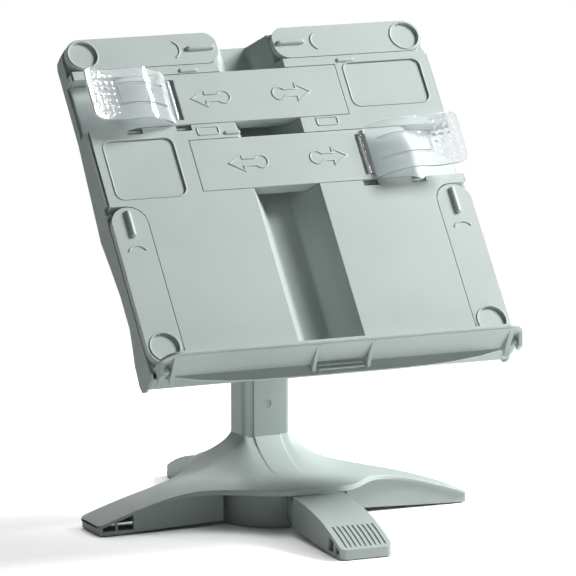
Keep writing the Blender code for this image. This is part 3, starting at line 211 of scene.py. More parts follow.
# %% [markdown]
# ## Moulded plastic
# Nearly all of the rack is one satin polypropylene. The steel mould is spark-eroded, which leaves a fine
# even grain in the plastic; the colour clouds slightly where the melt cooled at different speeds, and
# handling polishes patches of the grain. Four noises of very different scales give the clouding, a speckle,
# the polish and the grain.

# %% Plastic finishes
GRAIN_SCALE = 2600.0
SPECKLE_SCALE = GRAIN_SCALE / 3
CLOUD_SCALE = 14.0
POLISH_SCALE = 55.0
CLOUD_SHARE = 0.7
SPECKLE_SHARE = 0.3
POLISH_SPREAD = 0.16
SPECKLE_SPREAD = 0.04
GRAIN_STRENGTH = 0.6
SATIN_SPECULAR = 0.42
FINE_GRAIN = 0.000035
COARSE_GRAIN = 0.00006


def moulded(name, colour, shade, roughness, grain):
    """Satin plastic between a colour and its clouded shade."""
    graph = Graph(name)
    place = graph.place()
    cloud = graph.noise(CLOUD_SCALE, 3.0, 0.55, place).step(0.3, 0.7)
    speckle = graph.noise(SPECKLE_SCALE, 2.0, 0.6, place).step(0.35, 0.65)
    graph.set(colour=graph.mix(cloud * CLOUD_SHARE + speckle * SPECKLE_SHARE, colour, shade))
    polish = graph.noise(POLISH_SCALE, 4.0, 0.6, place)
    graph.set(roughness=(polish * POLISH_SPREAD + (roughness - POLISH_SPREAD / 2)) + speckle * SPECKLE_SPREAD)
    graph.set(normal=graph.bump(graph.noise(GRAIN_SCALE, 1.0, 0.5, place), grain, GRAIN_STRENGTH))
    graph.fix("Specular IOR Level", SATIN_SPECULAR)
    return graph.material


sage = moulded("sage_plastic", rgba(184, 195, 191), rgba(177, 189, 185), 0.46, FINE_GRAIN)
# The rear shell and the inner column get a darker copy of the same plastic, rougher and with the coarse
# grain; the darker colour is painted shade for these pieces, which sit out of the light.
sage_painted_shade = moulded("sage_painted_shade_plastic", rgba(172, 186, 181), rgba(165, 180, 175), 0.52, COARSE_GRAIN)
sage_dark = moulded("knob_plastic", rgba(112, 124, 119), rgba(100, 112, 108), 0.5, COARSE_GRAIN)
print("plastics:", sage.name, sage_painted_shade.name, sage_dark.name)

# %% [markdown]
# ## Clear plastic, steel, brass and rubber
# The page clips are clear styrene: light passes through, edges stay bright, and the moulding has faint
# waves. The screws and pins are zinc-plated steel with fine tool marks, the insert is brass, and the pads
# are matt rubber.

# %% Other finishes
WAVE_SCALE = 60.0
WAVE_HEIGHT = 1.6 * MM
HAZE_SCALE = 240.0
HAZE_SPREAD = 0.08
CLEAR_TINT = (0.97, 0.985, 1.0, 1.0)
HAZE_TINT = (0.90, 0.93, 0.96, 1.0)
CLEAR_ROUGHNESS = 0.05
CLEAR_SHARE = 0.86
CLEAR_IOR = 1.47
CLEAR_COAT = 0.15
TOOL_MARK_SCALE = 900.0
TOOL_MARK_DEPTH = 0.04 * MM
TOOL_MARK_SPREAD = 0.08
MOTTLE_SCALE = 180.0
MOTTLE_SPREAD = 0.14
DUST_SCALE = 130.0
DUST_SPREAD = 0.12
RUBBER_GRAIN_SCALE = 1500.0
RUBBER_GRAIN = 0.08 * MM
RUBBER_ROUGHNESS = 0.72
RUBBER_BLACK = (0.022, 0.022, 0.022, 1.0)
RUBBER_DUST = (0.06, 0.06, 0.058, 1.0)


def clear_plastic():
    """Clear styrene with a trace of haze and faint waves."""
    graph = Graph("clear_plastic")
    place = graph.place()
    waves = graph.noise(WAVE_SCALE, 2.0, 0.5, place)
    haze = graph.noise(HAZE_SCALE, 3.0, 0.6, place).step(0.45, 0.75)
    graph.set(colour=graph.mix(haze, CLEAR_TINT, HAZE_TINT))
    graph.set(roughness=haze * HAZE_SPREAD + CLEAR_ROUGHNESS)
    graph.set(normal=graph.bump(waves, WAVE_HEIGHT, 0.5))
    graph.fix("Transmission Weight", CLEAR_SHARE)
    graph.fix("IOR", CLEAR_IOR)
    graph.fix("Coat Weight", CLEAR_COAT)
    return graph.material


def metal(name, colour, shade, roughness):
    """Plated metal: fine tool marks under a mottled plating."""
    graph = Graph(name)
    place = graph.place()
    marks = graph.noise(TOOL_MARK_SCALE, 1.0, 0.4, place)
    mottle = graph.noise(MOTTLE_SCALE, 3.0, 0.6, place).step(0.35, 0.7)
    graph.set(colour=graph.mix(mottle, colour, shade))
    graph.set(roughness=mottle * MOTTLE_SPREAD + marks * TOOL_MARK_SPREAD + roughness)
    graph.set(normal=graph.bump(marks, TOOL_MARK_DEPTH, 0.5))
    graph.fix("Metallic", 1.0)
    return graph.material


def rubber_finish():
    """Matt black rubber with dust in patches."""
    graph = Graph("rubber")
    place = graph.place()
    dust = graph.noise(DUST_SCALE, 4.0, 0.65, place).step(0.5, 0.8)
    graph.set(colour=graph.mix(dust, RUBBER_BLACK, RUBBER_DUST))
    graph.set(roughness=dust * DUST_SPREAD + RUBBER_ROUGHNESS)
    grain = graph.noise(RUBBER_GRAIN_SCALE, 2.0, 0.6, place)
    graph.set(normal=graph.bump(grain, RUBBER_GRAIN, 0.7))
    return graph.material


clear = clear_plastic()
steel = metal("steel", (0.56, 0.56, 0.57, 1.0), (0.44, 0.44, 0.45, 1.0), 0.2)
brass = metal("brass", (0.62, 0.44, 0.18, 1.0), (0.5, 0.36, 0.16, 1.0), 0.24)
rubber = rubber_finish()
finishes = {"sage_plastic": sage, "dark_sage_plastic": sage_dark, "clear_plastic": clear, "steel": steel,
            "brass": brass, "rubber": rubber}

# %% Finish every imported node
slots = {row["node"]: row["material_slot"] for row in frame["record"]["subparts"]}
for name, node in frame["nodes"].items():
    node.data.materials.clear()
    node.data.materials.append(finishes[slots[name]])
print("finished nodes:", len(slots))

# %% [markdown]
# ## Floor and light
# A product photograph of this kind has one big soft light at the upper right, a pale room for fill and a
# white sweep. The floor is white to the camera, and darkens only where the rack keeps light from it.

# %% Floor, world and lamps
SHADOW_NEAR = 0.30
SHADOW_FAR = 0.95
CONTACT_REACH = 0.045
CONTACT_GLOW = 0.62
PAPER_SCALE = 9.0
WHITE = (1.0, 1.0, 1.0, 1.0)
FLOOR_HALF = 6.0
ROOM_LIGHT = 0.06
LAMPS = {
    "key": ((2.02, -0.40, 1.74), 0.2, 0.8, 114.0),
    "front": ((0.3, -2.4, 0.9), 0.2, 1.8, 2.0),
    "back": ((0.25, 2.1, 1.5), 0.1, 1.2, 15.0),
}


def add_lamp(name, place, aim, size, power):
    """Square area lamp that faces a point."""
    data = bpy.data.lights.new(name, "AREA")
    data.size = size
    data.energy = power
    lamp = bpy.data.objects.new(name, data)
    scene.collection.objects.link(lamp)
    lamp.location = place
    lamp.rotation_euler = (Vector(aim) - Vector(place)).to_track_quat("-Z", "Y").to_euler()


def plain_floor():
    """White to the camera, and shaded only close to the rack."""
    graph = Graph("floor")
    path = graph.tree.nodes.new("ShaderNodeLightPath")
    place = graph.place()
    reach = graph.node("ShaderNodeVectorMath", {"operation": "LENGTH"}, {0: place}, output=1)
    far = reach.step(SHADOW_NEAR, SHADOW_FAR)
    cloud = graph.noise(PAPER_SCALE, 2.0, 0.5, place)
    paint = graph.mix(cloud, (0.90, 0.90, 0.90, 1.0), (0.93, 0.93, 0.93, 1.0))
    shadow = graph.node("ShaderNodeBsdfDiffuse", {}, {"Color": paint})
    # Close to the rack the floor gets a painted glow on top of its lamp light. Under and beside the rack an
    # occlusion test takes the glow away, so the floor there shows a painted contact shade on top of the
    # lamps' real shadow.
    glow = graph.node("ShaderNodeEmission", {}, {"Color": WHITE, "Strength": CONTACT_GLOW})
    white = graph.node("ShaderNodeEmission", {}, {"Color": WHITE, "Strength": 1.0})
    lit_sheet = graph.node("ShaderNodeAddShader", {}, {0: shadow, 1: glow})
    contact = {"Distance": CONTACT_REACH}
    open_sky = graph.node("ShaderNodeAmbientOcclusion", {"samples": 8}, contact, output=1)
    near = graph.node("ShaderNodeMixShader", {}, {0: open_sky.step(0.25, 0.9), 1: shadow, 2: lit_sheet})
    sheet = graph.node("ShaderNodeMixShader", {}, {0: far, 1: near, 2: white})
    seen = Signal(graph, path.outputs["Is Camera Ray"]) + Signal(graph, path.outputs["Is Glossy Ray"])
    seen = (seen + Signal(graph, path.outputs["Is Transmission Ray"])).clamp()
    lit = graph.node("ShaderNodeMixShader", {}, {0: seen, 1: shadow, 2: sheet})
    output = graph.tree.nodes["Material Output"]
    graph.tree.links.new(lit.socket, output.inputs["Surface"])
    return graph.material


floor_mesh = bpy.data.meshes.new("floor")
corners = [(-FLOOR_HALF, -FLOOR_HALF, 0), (FLOOR_HALF, -FLOOR_HALF, 0), (FLOOR_HALF, FLOOR_HALF, 0),
           (-FLOOR_HALF, FLOOR_HALF, 0)]
floor_mesh.from_pydata(corners, [], [(0, 1, 2, 3)])
floor = bpy.data.objects.new("floor", floor_mesh)
scene.collection.objects.link(floor)
floor_mesh.materials.append(plain_floor())
floor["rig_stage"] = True

world = bpy.data.worlds.new("studio")
world.use_nodes = True
scene.world = world
tree = world.node_tree
path = tree.nodes.new("ShaderNodeLightPath")
room = tree.nodes["Background"]
room.inputs["Color"].default_value = WHITE
room.inputs["Strength"].default_value = ROOM_LIGHT
sweep = tree.nodes.new("ShaderNodeBackground")
sweep.inputs["Color"].default_value = WHITE
seen = tree.nodes.new("ShaderNodeMath")
seen.operation = "ADD"
seen.use_clamp = True
tree.links.new(path.outputs["Is Camera Ray"], seen.inputs[0])
tree.links.new(path.outputs["Is Transmission Ray"], seen.inputs[1])
choose = tree.nodes.new("ShaderNodeMixShader")
tree.links.new(seen.outputs[0], choose.inputs[0])
tree.links.new(room.outputs[0], choose.inputs[1])
tree.links.new(sweep.outputs[0], choose.inputs[2])
tree.links.new(choose.outputs[0], tree.nodes["World Output"].inputs["Surface"])

for name, (place, aim_height, size, power) in LAMPS.items():
    add_lamp(name, place, (0, 0, aim_height), size, power)
print("lamps ready")

# %% [markdown]
# ## Soft edges on moulded pieces
# No moulded edge is sharp: the cutter that made the mould leaves a small radius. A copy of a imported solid
# has its loose triangles merged, its flat faces joined again and a small bevel on each crisp edge. Its
# normals then follow the large faces, so that only the narrow bevel catches the light.

# %% Soft-edged copies
WELD = 0.01 * MM
FLAT_ANGLE = np.radians(0.4)
CRISP_ANGLE = np.radians(40.0)
SHORT_EDGE = 1.9 * MM
NORMAL_WEIGHT = 50
FRAME_EDGE = 0.4 * MM
NOTCHED_NODES = ("ledge",)
# The rear shell and the inner column take the darker copy of the sage plastic, whose darker colour is painted
# shade.
SOFT_NODES = {
    "front_plate": (sage, 0.9), "rear_shell": (sage_painted_shade, 0.7), "upper_bar": (sage, 1.0),
    "lower_bar": (sage, 1.0), "arm_upper_left": (sage, 1.5), "arm_upper_right": (sage, 1.5),
    "arm_lower_left": (sage, 1.5), "arm_lower_right": (sage, 1.5), "ledge": (sage, 0.7),
    "foot_bar": (sage, 0.7), "column_collar": (sage_dark, 0.5), "height_knob": (sage_dark, 1.0),
    "tilt_head": (sage_dark, 0.5), "hinge_plate": (sage_dark, 0.5), "inner_column": (sage_painted_shade, 0.4),
}


def softened(node, finish, width, segments, shortest=0.0, name=None):
    """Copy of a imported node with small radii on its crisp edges; it takes the node's place.

    Edges shorter than the shortest length, such as those round a screw hole, stay crisp. The notched faces of
    some nodes are split into triangles, because a bevel can fold a notched face over itself.
    """
    source = frame["nodes"][node]
    mesh = source.data.copy()
    bm = bmesh.new()
    bm.from_mesh(mesh)
    bmesh.ops.remove_doubles(bm, verts=bm.verts, dist=WELD)
    bmesh.ops.dissolve_limit(bm, angle_limit=FLAT_ANGLE, verts=bm.verts, edges=bm.edges)
    if node in NOTCHED_NODES:
        notched = [face for face in bm.faces if len(face.verts) > 4]
        bmesh.ops.triangulate(bm, faces=notched, ngon_method="BEAUTY")
    weight = bm.edges.layers.float.new("bevel_weight_edge")
    for edge in bm.edges:
        crisp = len(edge.link_faces) == 2 and edge.calc_face_angle() > CRISP_ANGLE
        rounded = crisp and edge.calc_length() > shortest
        edge[weight] = 1.0 if rounded else 0.0
        edge.smooth = rounded or not crisp
    for face in bm.faces:
        face.smooth = True
    bm.to_mesh(mesh)
    bm.free()
    mesh.materials.clear()
    mesh.materials.append(finish)
    piece = bpy.data.objects.new(name or node + "_body", mesh)
    scene.collection.objects.link(piece)
    bevel = piece.modifiers.new("edge", "BEVEL")
    bevel.width = width
    bevel.segments = segments
    bevel.limit_method = "WEIGHT"
    bevel.use_clamp_overlap = True
    weighted = piece.modifiers.new("normals", "WEIGHTED_NORMAL")
    weighted.keep_sharp = True
    weighted.weight = NORMAL_WEIGHT
    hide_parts(node)
    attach(piece, source["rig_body"])
    return piece


for node, (finish, width) in SOFT_NODES.items():
    softened(node, finish, width * MM, 3, SHORT_EDGE)
print("softened:", len(SOFT_NODES))

# %% [markdown]
# ## The base cover
# The cover is a thin skin stretched over the hub and drawn out into two arms. Its plan is a bell curve,
#
# $$r(x) = r_a + (r_h - r_a)\,e^{-(|x|/w)^3}$$
#
# its rim falls towards the tips as a power of the distance, and near the column it sweeps up into a flare
# that ends in a tight fillet. A closed outline of the skin is worked out for every station along the
# arms.

# %% Sizes of the cover
ARM_HALF = 161 * MM
TIP_HALF = 21.5 * MM
HUB_HALF = 84 * MM
HUB_BELL = 61 * MM
TIP_CORNER = 6 * MM
RIM_TIP = 8.5 * MM
RIM_HUB = 38.5 * MM
RIM_POWER = 2.05
BAND_TIP = 1.8 * MM
BAND_HUB = 4.5 * MM
BAND_BELL = 95 * MM
SKIN = 1.9 * MM
SIDE_WALL = 2.4 * MM
FLARE_RISE = 21.5 * MM
FLARE_REACH = 50 * MM
FLARE_POWER = 1.9
FILLET_RISE = 3.5 * MM
FILLET_REACH = 2.5 * MM
COLUMN_Y = 31 * MM
COLUMN_HALF = np.array([20.75, 13.5]) * MM
COLUMN_CORNER = 4 * MM
STRIP_HALF = 11.5 * MM
STRIP_PROUD = 1.2 * MM
STRIP_SOFT = 0.5 * MM
COLUMN_SINK = 1.2 * MM
EDGE_ROUND = 0.9 * MM
BAND_LEAST = 0.2 * MM
MIDDLE_END = 30 * MM
COARSE = 0.5 * MM
COARSE_SKIN = 1.6 * MM
SLOPING = 0.3
STRIP_BOX = np.array([12, 12.2, 18.2]) * MM


def cover_reach(x):
    """r = r_a + (r_h - r_a) exp(-(|x|/w)^3), less a round corner of radius c at the tip."""
    reach = TIP_HALF + (HUB_HALF - TIP_HALF) * np.exp(-(np.abs(x) / HUB_BELL) ** 3)
    past = np.clip(np.abs(x) - ARM_HALF + TIP_CORNER, 0, TIP_CORNER)
    return reach - TIP_CORNER + np.sqrt(TIP_CORNER ** 2 - past ** 2)


def cover_rim(x):
    """z = z_tip + (z_hub - z_tip) (1 - (|x|/L)^2.05)."""
    return RIM_TIP + (RIM_HUB - RIM_TIP) * (1 - (np.abs(x) / ARM_HALF) ** RIM_POWER)


def column_distance(x, y):
    """Distance in plan to the column's rounded rectangle, with the strip on its front."""
    beside = np.clip(np.abs(x) - COLUMN_HALF[0] + COLUMN_CORNER, 0, None)
    ahead = np.clip(np.abs(y - COLUMN_Y) - COLUMN_HALF[1] + COLUMN_CORNER, 0, None)
    edge = np.clip((STRIP_HALF + STRIP_SOFT - np.abs(x)) / (2 * STRIP_SOFT), 0, 1)
    strip = STRIP_PROUD * edge ** 2 * (3 - 2 * edge) * (y < COLUMN_Y)
    return np.hypot(beside, ahead) - COLUMN_CORNER - strip


def cover_top(x, y):
    """z = rim(x) + R (1 - d/D)^1.9 + F exp(-d/f), with d the distance to the column."""
    d = np.clip(column_distance(x, y), 0, None)
    flare = FLARE_RISE * (1 - np.clip(d / FLARE_REACH, 0, 1)) ** FLARE_POWER
    return cover_rim(x) + flare + FILLET_RISE * np.exp(-d / FILLET_REACH)


def band_low(x):
    """Bottom of the rim band."""
    return cover_rim(x) - BAND_TIP - (BAND_HUB - BAND_TIP) * np.exp(-(x / BAND_BELL) ** 4)


# %% Mesh helpers
SKIN_CREASE = np.radians(35.0)
MARK_CREASE = np.radians(50.0)
LEAST = 1e-9


def surface(name, points, faces, finish, body, crease):
    """New piece from world points and faces, riding on a body; edges sharper than the crease stay sharp."""
    mesh = bpy.data.meshes.new(name)
    mesh.from_pydata(np.asarray(points).tolist(), [], faces)
    mesh.materials.append(finish)
    bm = bmesh.new()
    bm.from_mesh(mesh)
    bmesh.ops.recalc_face_normals(bm, faces=bm.faces)
    bm.to_mesh(mesh)
    bm.free()
    mesh.shade_smooth()
    mesh.set_sharp_from_angle(angle=crease)
    piece = bpy.data.objects.new(name, mesh)
    scene.collection.objects.link(piece)
    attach(piece, body)
    return piece


def skinned(loops, caps=True):
    """Quads between the closed loops of an array (rows, points, 3), with both ends capped."""
    rows, count = loops.shape[:2]
    points = loops.reshape(-1, 3)
    faces = []
    for i in range(rows - 1):
        for j in range(count):
            k = (j + 1) % count
            faces.append((i * count + j, i * count + k, (i + 1) * count + k, (i + 1) * count + j))
    if caps:
        faces.append(tuple(range(count)))
        faces.append(tuple(range((rows - 1) * count, rows * count)))
    return points, faces


# %% Fine skin of the cover
tip_start = ARM_HALF - TIP_CORNER
tip_turn = np.linspace(0.1, np.pi / 2, 12)
half_stations = np.concatenate([np.linspace(0, MIDDLE_END, 61)[:-1], np.linspace(MIDDLE_END, tip_start, 90),
                                tip_start + TIP_CORNER * np.sin(tip_turn)])
stations = np.concatenate([-half_stations[:0:-1], half_stations])
shares = np.sin(np.linspace(-np.pi / 2, np.pi / 2, 71))
loops = []
for x in stations:
    reach = cover_reach(x)
    inner = reach - SIDE_WALL
    ys = shares * (reach - EDGE_ROUND)
    top = cover_top(x, ys)
    turn = np.linspace(0, np.pi / 2, 5)[1:]
    edge_y = reach - EDGE_ROUND + EDGE_ROUND * np.sin(turn)
    edge_z = cover_top(x, reach - EDGE_ROUND) - EDGE_ROUND * (1 - np.cos(turn))
    far_z = cover_top(x, EDGE_ROUND - reach) - EDGE_ROUND * (1 - np.cos(turn))
    low = np.minimum(band_low(x), edge_z[-1] - BAND_LEAST)
    under_y = shares[::-1] * inner
    under = np.maximum(cover_top(x, under_y) - SKIN, low)
    y = np.concatenate([ys, edge_y, [reach, inner], under_y, [-inner, -reach], -edge_y[::-1]])
    z = np.concatenate([top, edge_z, [low, low], under, [low, low], far_z[::-1]])
    loops.append(np.stack([np.full_like(y, x), y, z], axis=1))
points, faces = skinned(np.array(loops))
centre = np.array([points[list(face)].mean(axis=0) for face in faces])
inside = column_distance(centre[:, 0], centre[:, 1]) < -COLUMN_SINK
faces = [face for face, hidden in zip(faces, inside) if not hidden]
cover_skin = surface("cover_skin", points, faces, sage, "base", SKIN_CREASE)
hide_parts("base_cover")

# %% Column, arm walls and ribs of the cover
def on_coarse_skin(face):
    """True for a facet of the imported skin, which the fine skin stands for."""
    x, y, z = face.calc_center_median()
    if abs(x) < STRIP_BOX[0] and STRIP_BOX[1] < y < STRIP_BOX[2]:
        return False
    rise = z - cover_top(x, y)
    fillet = FILLET_RISE * np.exp(-max(column_distance(x, y), 0) / FILLET_REACH)
    sloping = abs(face.normal.z) > SLOPING
    on_top = sloping and -COARSE < rise + fillet < COARSE and column_distance(x, y) > -COARSE
    on_under = sloping and abs(rise + fillet + COARSE_SKIN) < COARSE
    side = abs(y) - cover_reach(x)
    beside = abs(side) < COARSE or abs(side + SIDE_WALL) < COARSE / 2
    on_band = not sloping and z > band_low(x) - COARSE and beside
    return on_top or on_under or on_band


body = softened("base_cover", sage, FRAME_EDGE, 2, name="base_frame")
bm = bmesh.new()
bm.from_mesh(body.data)
coarse = [face for face in bm.faces if on_coarse_skin(face)]
bmesh.ops.delete(bm, geom=coarse, context="FACES")
bm.to_mesh(body.data)
bm.free()
print("cover skin:", len(faces), "faces; packed facets left out:", len(coarse))

# %% [markdown]
# ## Marks on the panel
# The bars carry outlined arrows that show which way they slide, the holders carry a small arc for the
# thumb and a ring round each pivot, and the ledge has two ridges under its middle. Each mark is a low
# ridge with a round top that follows a path. Places are given on the panel: a to the reader's right, b up
# the face and c out of it.

# %% Places on the panel
LEAN = np.radians(38.6)
TILT_AXIS = np.array([0, 31, 266]) * MM
ACROSS = np.array([1.0, 0.0, 0.0])
UP_FACE = np.array([0.0, np.sin(LEAN), np.cos(LEAN)])
OUT = np.array([0.0, -np.cos(LEAN), np.sin(LEAN)])
AXIS_B = 163 * MM
AXIS_C = -44 * MM
PIVOT_HIGH = 263 * MM
PIVOT_HALF = 140 * MM
BAR_UPPER_B = 217.2 * MM
BAR_LOWER_B = 156.7 * MM
SIDES = ((-1, "left"), (1, "right"))
MARK_SINK = 0.2 * MM
RIDGE_POWER = 0.7


def on_panel(a, b, c):
    """World points of places on the panel, given in metres."""
    a, b, c = np.broadcast_arrays(a, b, c)
    up = b[..., None] - AXIS_B
    out = c[..., None] - AXIS_C
    return TILT_AXIS + a[..., None] * ACROSS + up * UP_FACE + out * OUT


def unit(rows):
    """Rows of vectors, each divided by its length."""
    return rows / np.maximum(np.linalg.norm(rows, axis=1, keepdims=True), LEAST)


def ridge(name, path, half, high, body, closed=False, level=0.0):
    """Low ridge along a path of (a, b) places: c = h cos(s)^0.7 over its width, s from -90 to 90 degrees."""
    path = np.asarray(path, float)
    if closed:
        before, after = np.roll(path, 1, axis=0), np.roll(path, -1, axis=0)
    else:
        before, after = np.vstack([path[:1], path[:-1]]), np.vstack([path[1:], path[-1:]])
    first = path - before
    second = after - path
    along = unit(unit(first) + unit(second))
    normal = np.stack([-along[:, 1], along[:, 0]], axis=1)
    turn = np.clip(np.sum(unit(first) * along, axis=1), 0.5, 1.0)
    turn[[0, -1]] = turn[[0, -1]] if closed else 1.0
    s = np.linspace(-np.pi / 2, np.pi / 2, 9)
    across = np.sin(s) * half
    rise = level + high * np.cos(s) ** RIDGE_POWER
    rise[[0, -1]] = level - MARK_SINK
    places = path[:, None, :] + normal[:, None, :] * (across[None, :, None] / turn[:, None, None])
    loops = on_panel(places[..., 0], places[..., 1], np.broadcast_to(rise, places.shape[:2]))
    if closed:
        loops = np.concatenate([loops, loops[:1]])
    points, faces = skinned(loops, caps=not closed)
    return surface(name, points, faces, sage, body, MARK_CREASE)


def arc(centre, radius, start, end, count=24):
    """Points of an arc, with angles in degrees."""
    angle = np.radians(np.linspace(start, end, count))
    return np.stack([centre[0] + radius * np.cos(angle), centre[1] + radius * np.sin(angle)], axis=1)


def arrow(tip, tail, middle, half_head, half_shaft, head, knob):
    """Outline of a block arrow from a round tail knob to its tip along a."""
    way = np.sign(tip - tail)
    neck = tip - way * head
    centre = tail + way * knob
    meet = np.degrees(np.arcsin(half_shaft / knob))
    tail_arc = arc((0, 0), knob, meet, 360 - meet, 22)
    tail_arc[:, 0] = centre + way * tail_arc[:, 0]
    tail_arc[:, 1] += middle
    head_points = [(neck, middle - half_shaft), (neck, middle - half_head), (tip, middle),
                   (neck, middle + half_head), (neck, middle + half_shaft)]
    return np.concatenate([tail_arc, np.array(head_points)])


def rounded_frame(low, high, near, far, radius):
    """Closed path round a rectangle with round corners, from its limits in a and b."""
    corners = ((high - radius, far - radius, 0), (low + radius, far - radius, 90),
               (low + radius, near + radius, 180), (high - radius, near + radius, 270))
    return np.concatenate([arc((a, b), radius, start, start + 90, 8) for a, b, start in corners])


PILL_SHARES = (1.0, 1.0, 0.985, 0.95, 0.88, 0.75, 0.5, 0.05)


def pill(name, middle, along, half_long, half, high, body):
    """Raised bar with round ends: c = h (1 - (r/R)^3)^(1/2), with r the distance from its middle line."""
    along = np.array(along, float) / np.linalg.norm(along)
    across = np.array([-along[1], along[0]])
    turn = np.linspace(0, 2 * np.pi, 49)[:-1]
    loops = []
    for share in PILL_SHARES:
        rise = high * np.sqrt(1 - share ** 3) if loops else -MARK_SINK
        ends = np.where(np.cos(turn) >= 0, half_long, -half_long)
        u = ends + share * half * np.cos(turn)
        v = share * half * np.sin(turn)
        place = np.array(middle) + u[:, None] * along + v[:, None] * across
        loops.append(on_panel(place[:, 0], place[:, 1], np.full(len(turn), rise)))
    points, faces = skinned(np.array(loops))
    return surface(name, points, faces, sage, body, MARK_CREASE)


# %% Arrows and thumb arcs
MARK_HALF = 0.75 * MM
MARK_HIGH = 0.6 * MM
ARROW_HALF_HEAD = 7.5 * MM
ARROW_HALF_SHAFT = 3.2 * MM
ARROW_HEAD = 12 * MM
ARROW_KNOB = 5.6 * MM
ARROWS = {"upper_bar": (BAR_UPPER_B, ((-59, -26), (44, 11))),
          "lower_bar": (BAR_LOWER_B, ((-43, -10), (59, 27)))}
for node, (middle, places) in ARROWS.items():
    for number, (tip, tail) in enumerate(places, 1):
        sizes = (ARROW_HALF_HEAD, ARROW_HALF_SHAFT, ARROW_HEAD, ARROW_KNOB)
        outline = arrow(tip * MM, tail * MM, middle, *sizes)
        slider = frame["nodes"][node]["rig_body"]
        ridge(f"{node}_arrow_{number}", outline, MARK_HALF, MARK_HIGH, slider, closed=True)

THUMB_RADIUS = 8.2 * MM
THUMB_HALF = 0.8 * MM
THUMB_HIGH = 0.7 * MM
THUMB_TURN = 62
UPPER_THUMB_A = 65.5 * MM
LOWER_THUMB_B = 81.5 * MM
for side, name in SIDES:
    facing = 180 if side > 0 else 0
    path = arc((side * UPPER_THUMB_A, PIVOT_HIGH), THUMB_RADIUS, facing - THUMB_TURN, facing + THUMB_TURN)
    ridge(f"upper_{name}_thumb_arc", path, THUMB_HALF, THUMB_HIGH, f"holder_upper_{name}")
    path = arc((side * PIVOT_HALF, LOWER_THUMB_B), THUMB_RADIUS, 90 - THUMB_TURN, 90 + THUMB_TURN)
    ridge(f"lower_{name}_thumb_arc", path, THUMB_HALF, THUMB_HIGH, f"holder_lower_{name}")

# %% Pad frames, grips, latches and rings
FRAME_HALF = 0.7 * MM
FRAME_HIGH = 0.55 * MM
GRIP_HALF_LONG = 9.6 * MM
GRIP_HALF = 2.3 * MM
GRIP_HIGH = 2.6 * MM
UPPER_GRIP_A = 39.3 * MM
LOWER_GRIP_B = 109.2 * MM
TAB_HIGH = 1.3 * MM
RING_RADIUS = 12.4 * MM
RING_HALF = 0.75 * MM
RING_HIGH = 0.7 * MM
PADS = {"upper_pad_rim": (78, 146, 200.5, 241.5, 7), "lower_pad_rim": (-145, -85, 131, 184, 7),
        "upper_latch": (42, 60, 185.5, 192.5, 1.5), "lower_latch": (-62, -44, 184.0, 191.0, 1.5)}
for name, limits in PADS.items():
    path = rounded_frame(*[limit * MM for limit in limits])
    ridge(name, path, FRAME_HALF, FRAME_HIGH, "panel", closed=True)
for side, name in SIDES:
    middle = (side * UPPER_GRIP_A, PIVOT_HIGH)
    pill(f"upper_{name}_grip", middle, (1, 0), GRIP_HALF_LONG, GRIP_HALF, GRIP_HIGH, f"holder_upper_{name}")
for side, name in SIDES:
    middle = (side * PIVOT_HALF, LOWER_GRIP_B)
    pill(f"lower_{name}_grip", middle, (0, 1), GRIP_HALF_LONG, GRIP_HALF, GRIP_HIGH, f"holder_lower_{name}")
TABS = {"tab_upper_left": ((-55, 243.5), 8.0, 2.0), "tab_upper_right": ((-33, 184.5), 7.0, 1.8),
        "tab_right": ((82, 243.8), 8.0, 2.0)}
for name, (middle, half_long, half) in TABS.items():
    pill(name, np.array(middle) * MM, (1, 0), (half_long - half) * MM, half * MM, TAB_HIGH, "panel")
for side, name in SIDES:
    for height, row in ((PIVOT_HIGH, "upper"), (0.0, "lower")):
        path = arc((side * PIVOT_HALF, height), RING_RADIUS, 0, 350, 36)
        ridge(f"{row}_{name}_ring", path, RING_HALF, RING_HIGH, f"holder_{row}_{name}", closed=True)

# %% Under side of the ledge
SKIRT_FACE = 0.4 * MM
SKIRT_HALF = 145 * MM
SKIRT_TOP = -24.3 * MM
SKIRT_DROP = (1.7 * MM, 11.2 * MM)
TRAY_TOP = -21.2 * MM
TRAY_FOOT = -26.4 * MM
GRIP_FOOT = -24.6 * MM
TRAY_NOSE = 24.6 * MM
TRAY_WALL = 1.2 * MM
TRAY_BULGE_POWER = 1.15
SKIRT_POWER = 4
TRAY_END = 142 * MM
TRAY_INNER = 24 * MM
GRIP_TRAY_HALF = 23 * MM
LEDGE_RIDGES_B = (-27.5, -31.0)
LEDGE_RIDGE_END = 19
LEDGE_RIDGE_HALF = 1.0 * MM
LEDGE_RIDGE_HIGH = 1.5 * MM


def tray(name, near, far, lowest):
    """Sheet between two gussets: b = top + (foot - top) s^1.15, and c falls evenly from nose to skirt.

    The foot follows the skirt's lower edge, which rises towards the ends as the fourth power of the distance.
    """
    a = np.linspace(near, far, 41)[:, None]
    fall = 1 - (np.abs(a) / SKIRT_HALF) ** SKIRT_POWER
    low = SKIRT_TOP - SKIRT_DROP[0] - (SKIRT_DROP[1] - SKIRT_DROP[0]) * fall
    foot = np.maximum(low + TRAY_WALL, lowest)
    s = np.linspace(0, 1, 13)[None, :]
    outer_b = TRAY_TOP + (foot - TRAY_TOP) * s ** TRAY_BULGE_POWER
    outer_c = TRAY_NOSE + (SKIRT_FACE - TRAY_NOSE) * s
    b = np.concatenate([outer_b, outer_b[:, ::-1] + TRAY_WALL], axis=1)
    c = np.concatenate([outer_c, outer_c[:, ::-1] - TRAY_WALL], axis=1)
    c = np.broadcast_to(c, b.shape)
    points, faces = skinned(on_panel(a, b, c))
    return surface(name, points, faces, sage, "book_ledge", MARK_CREASE)


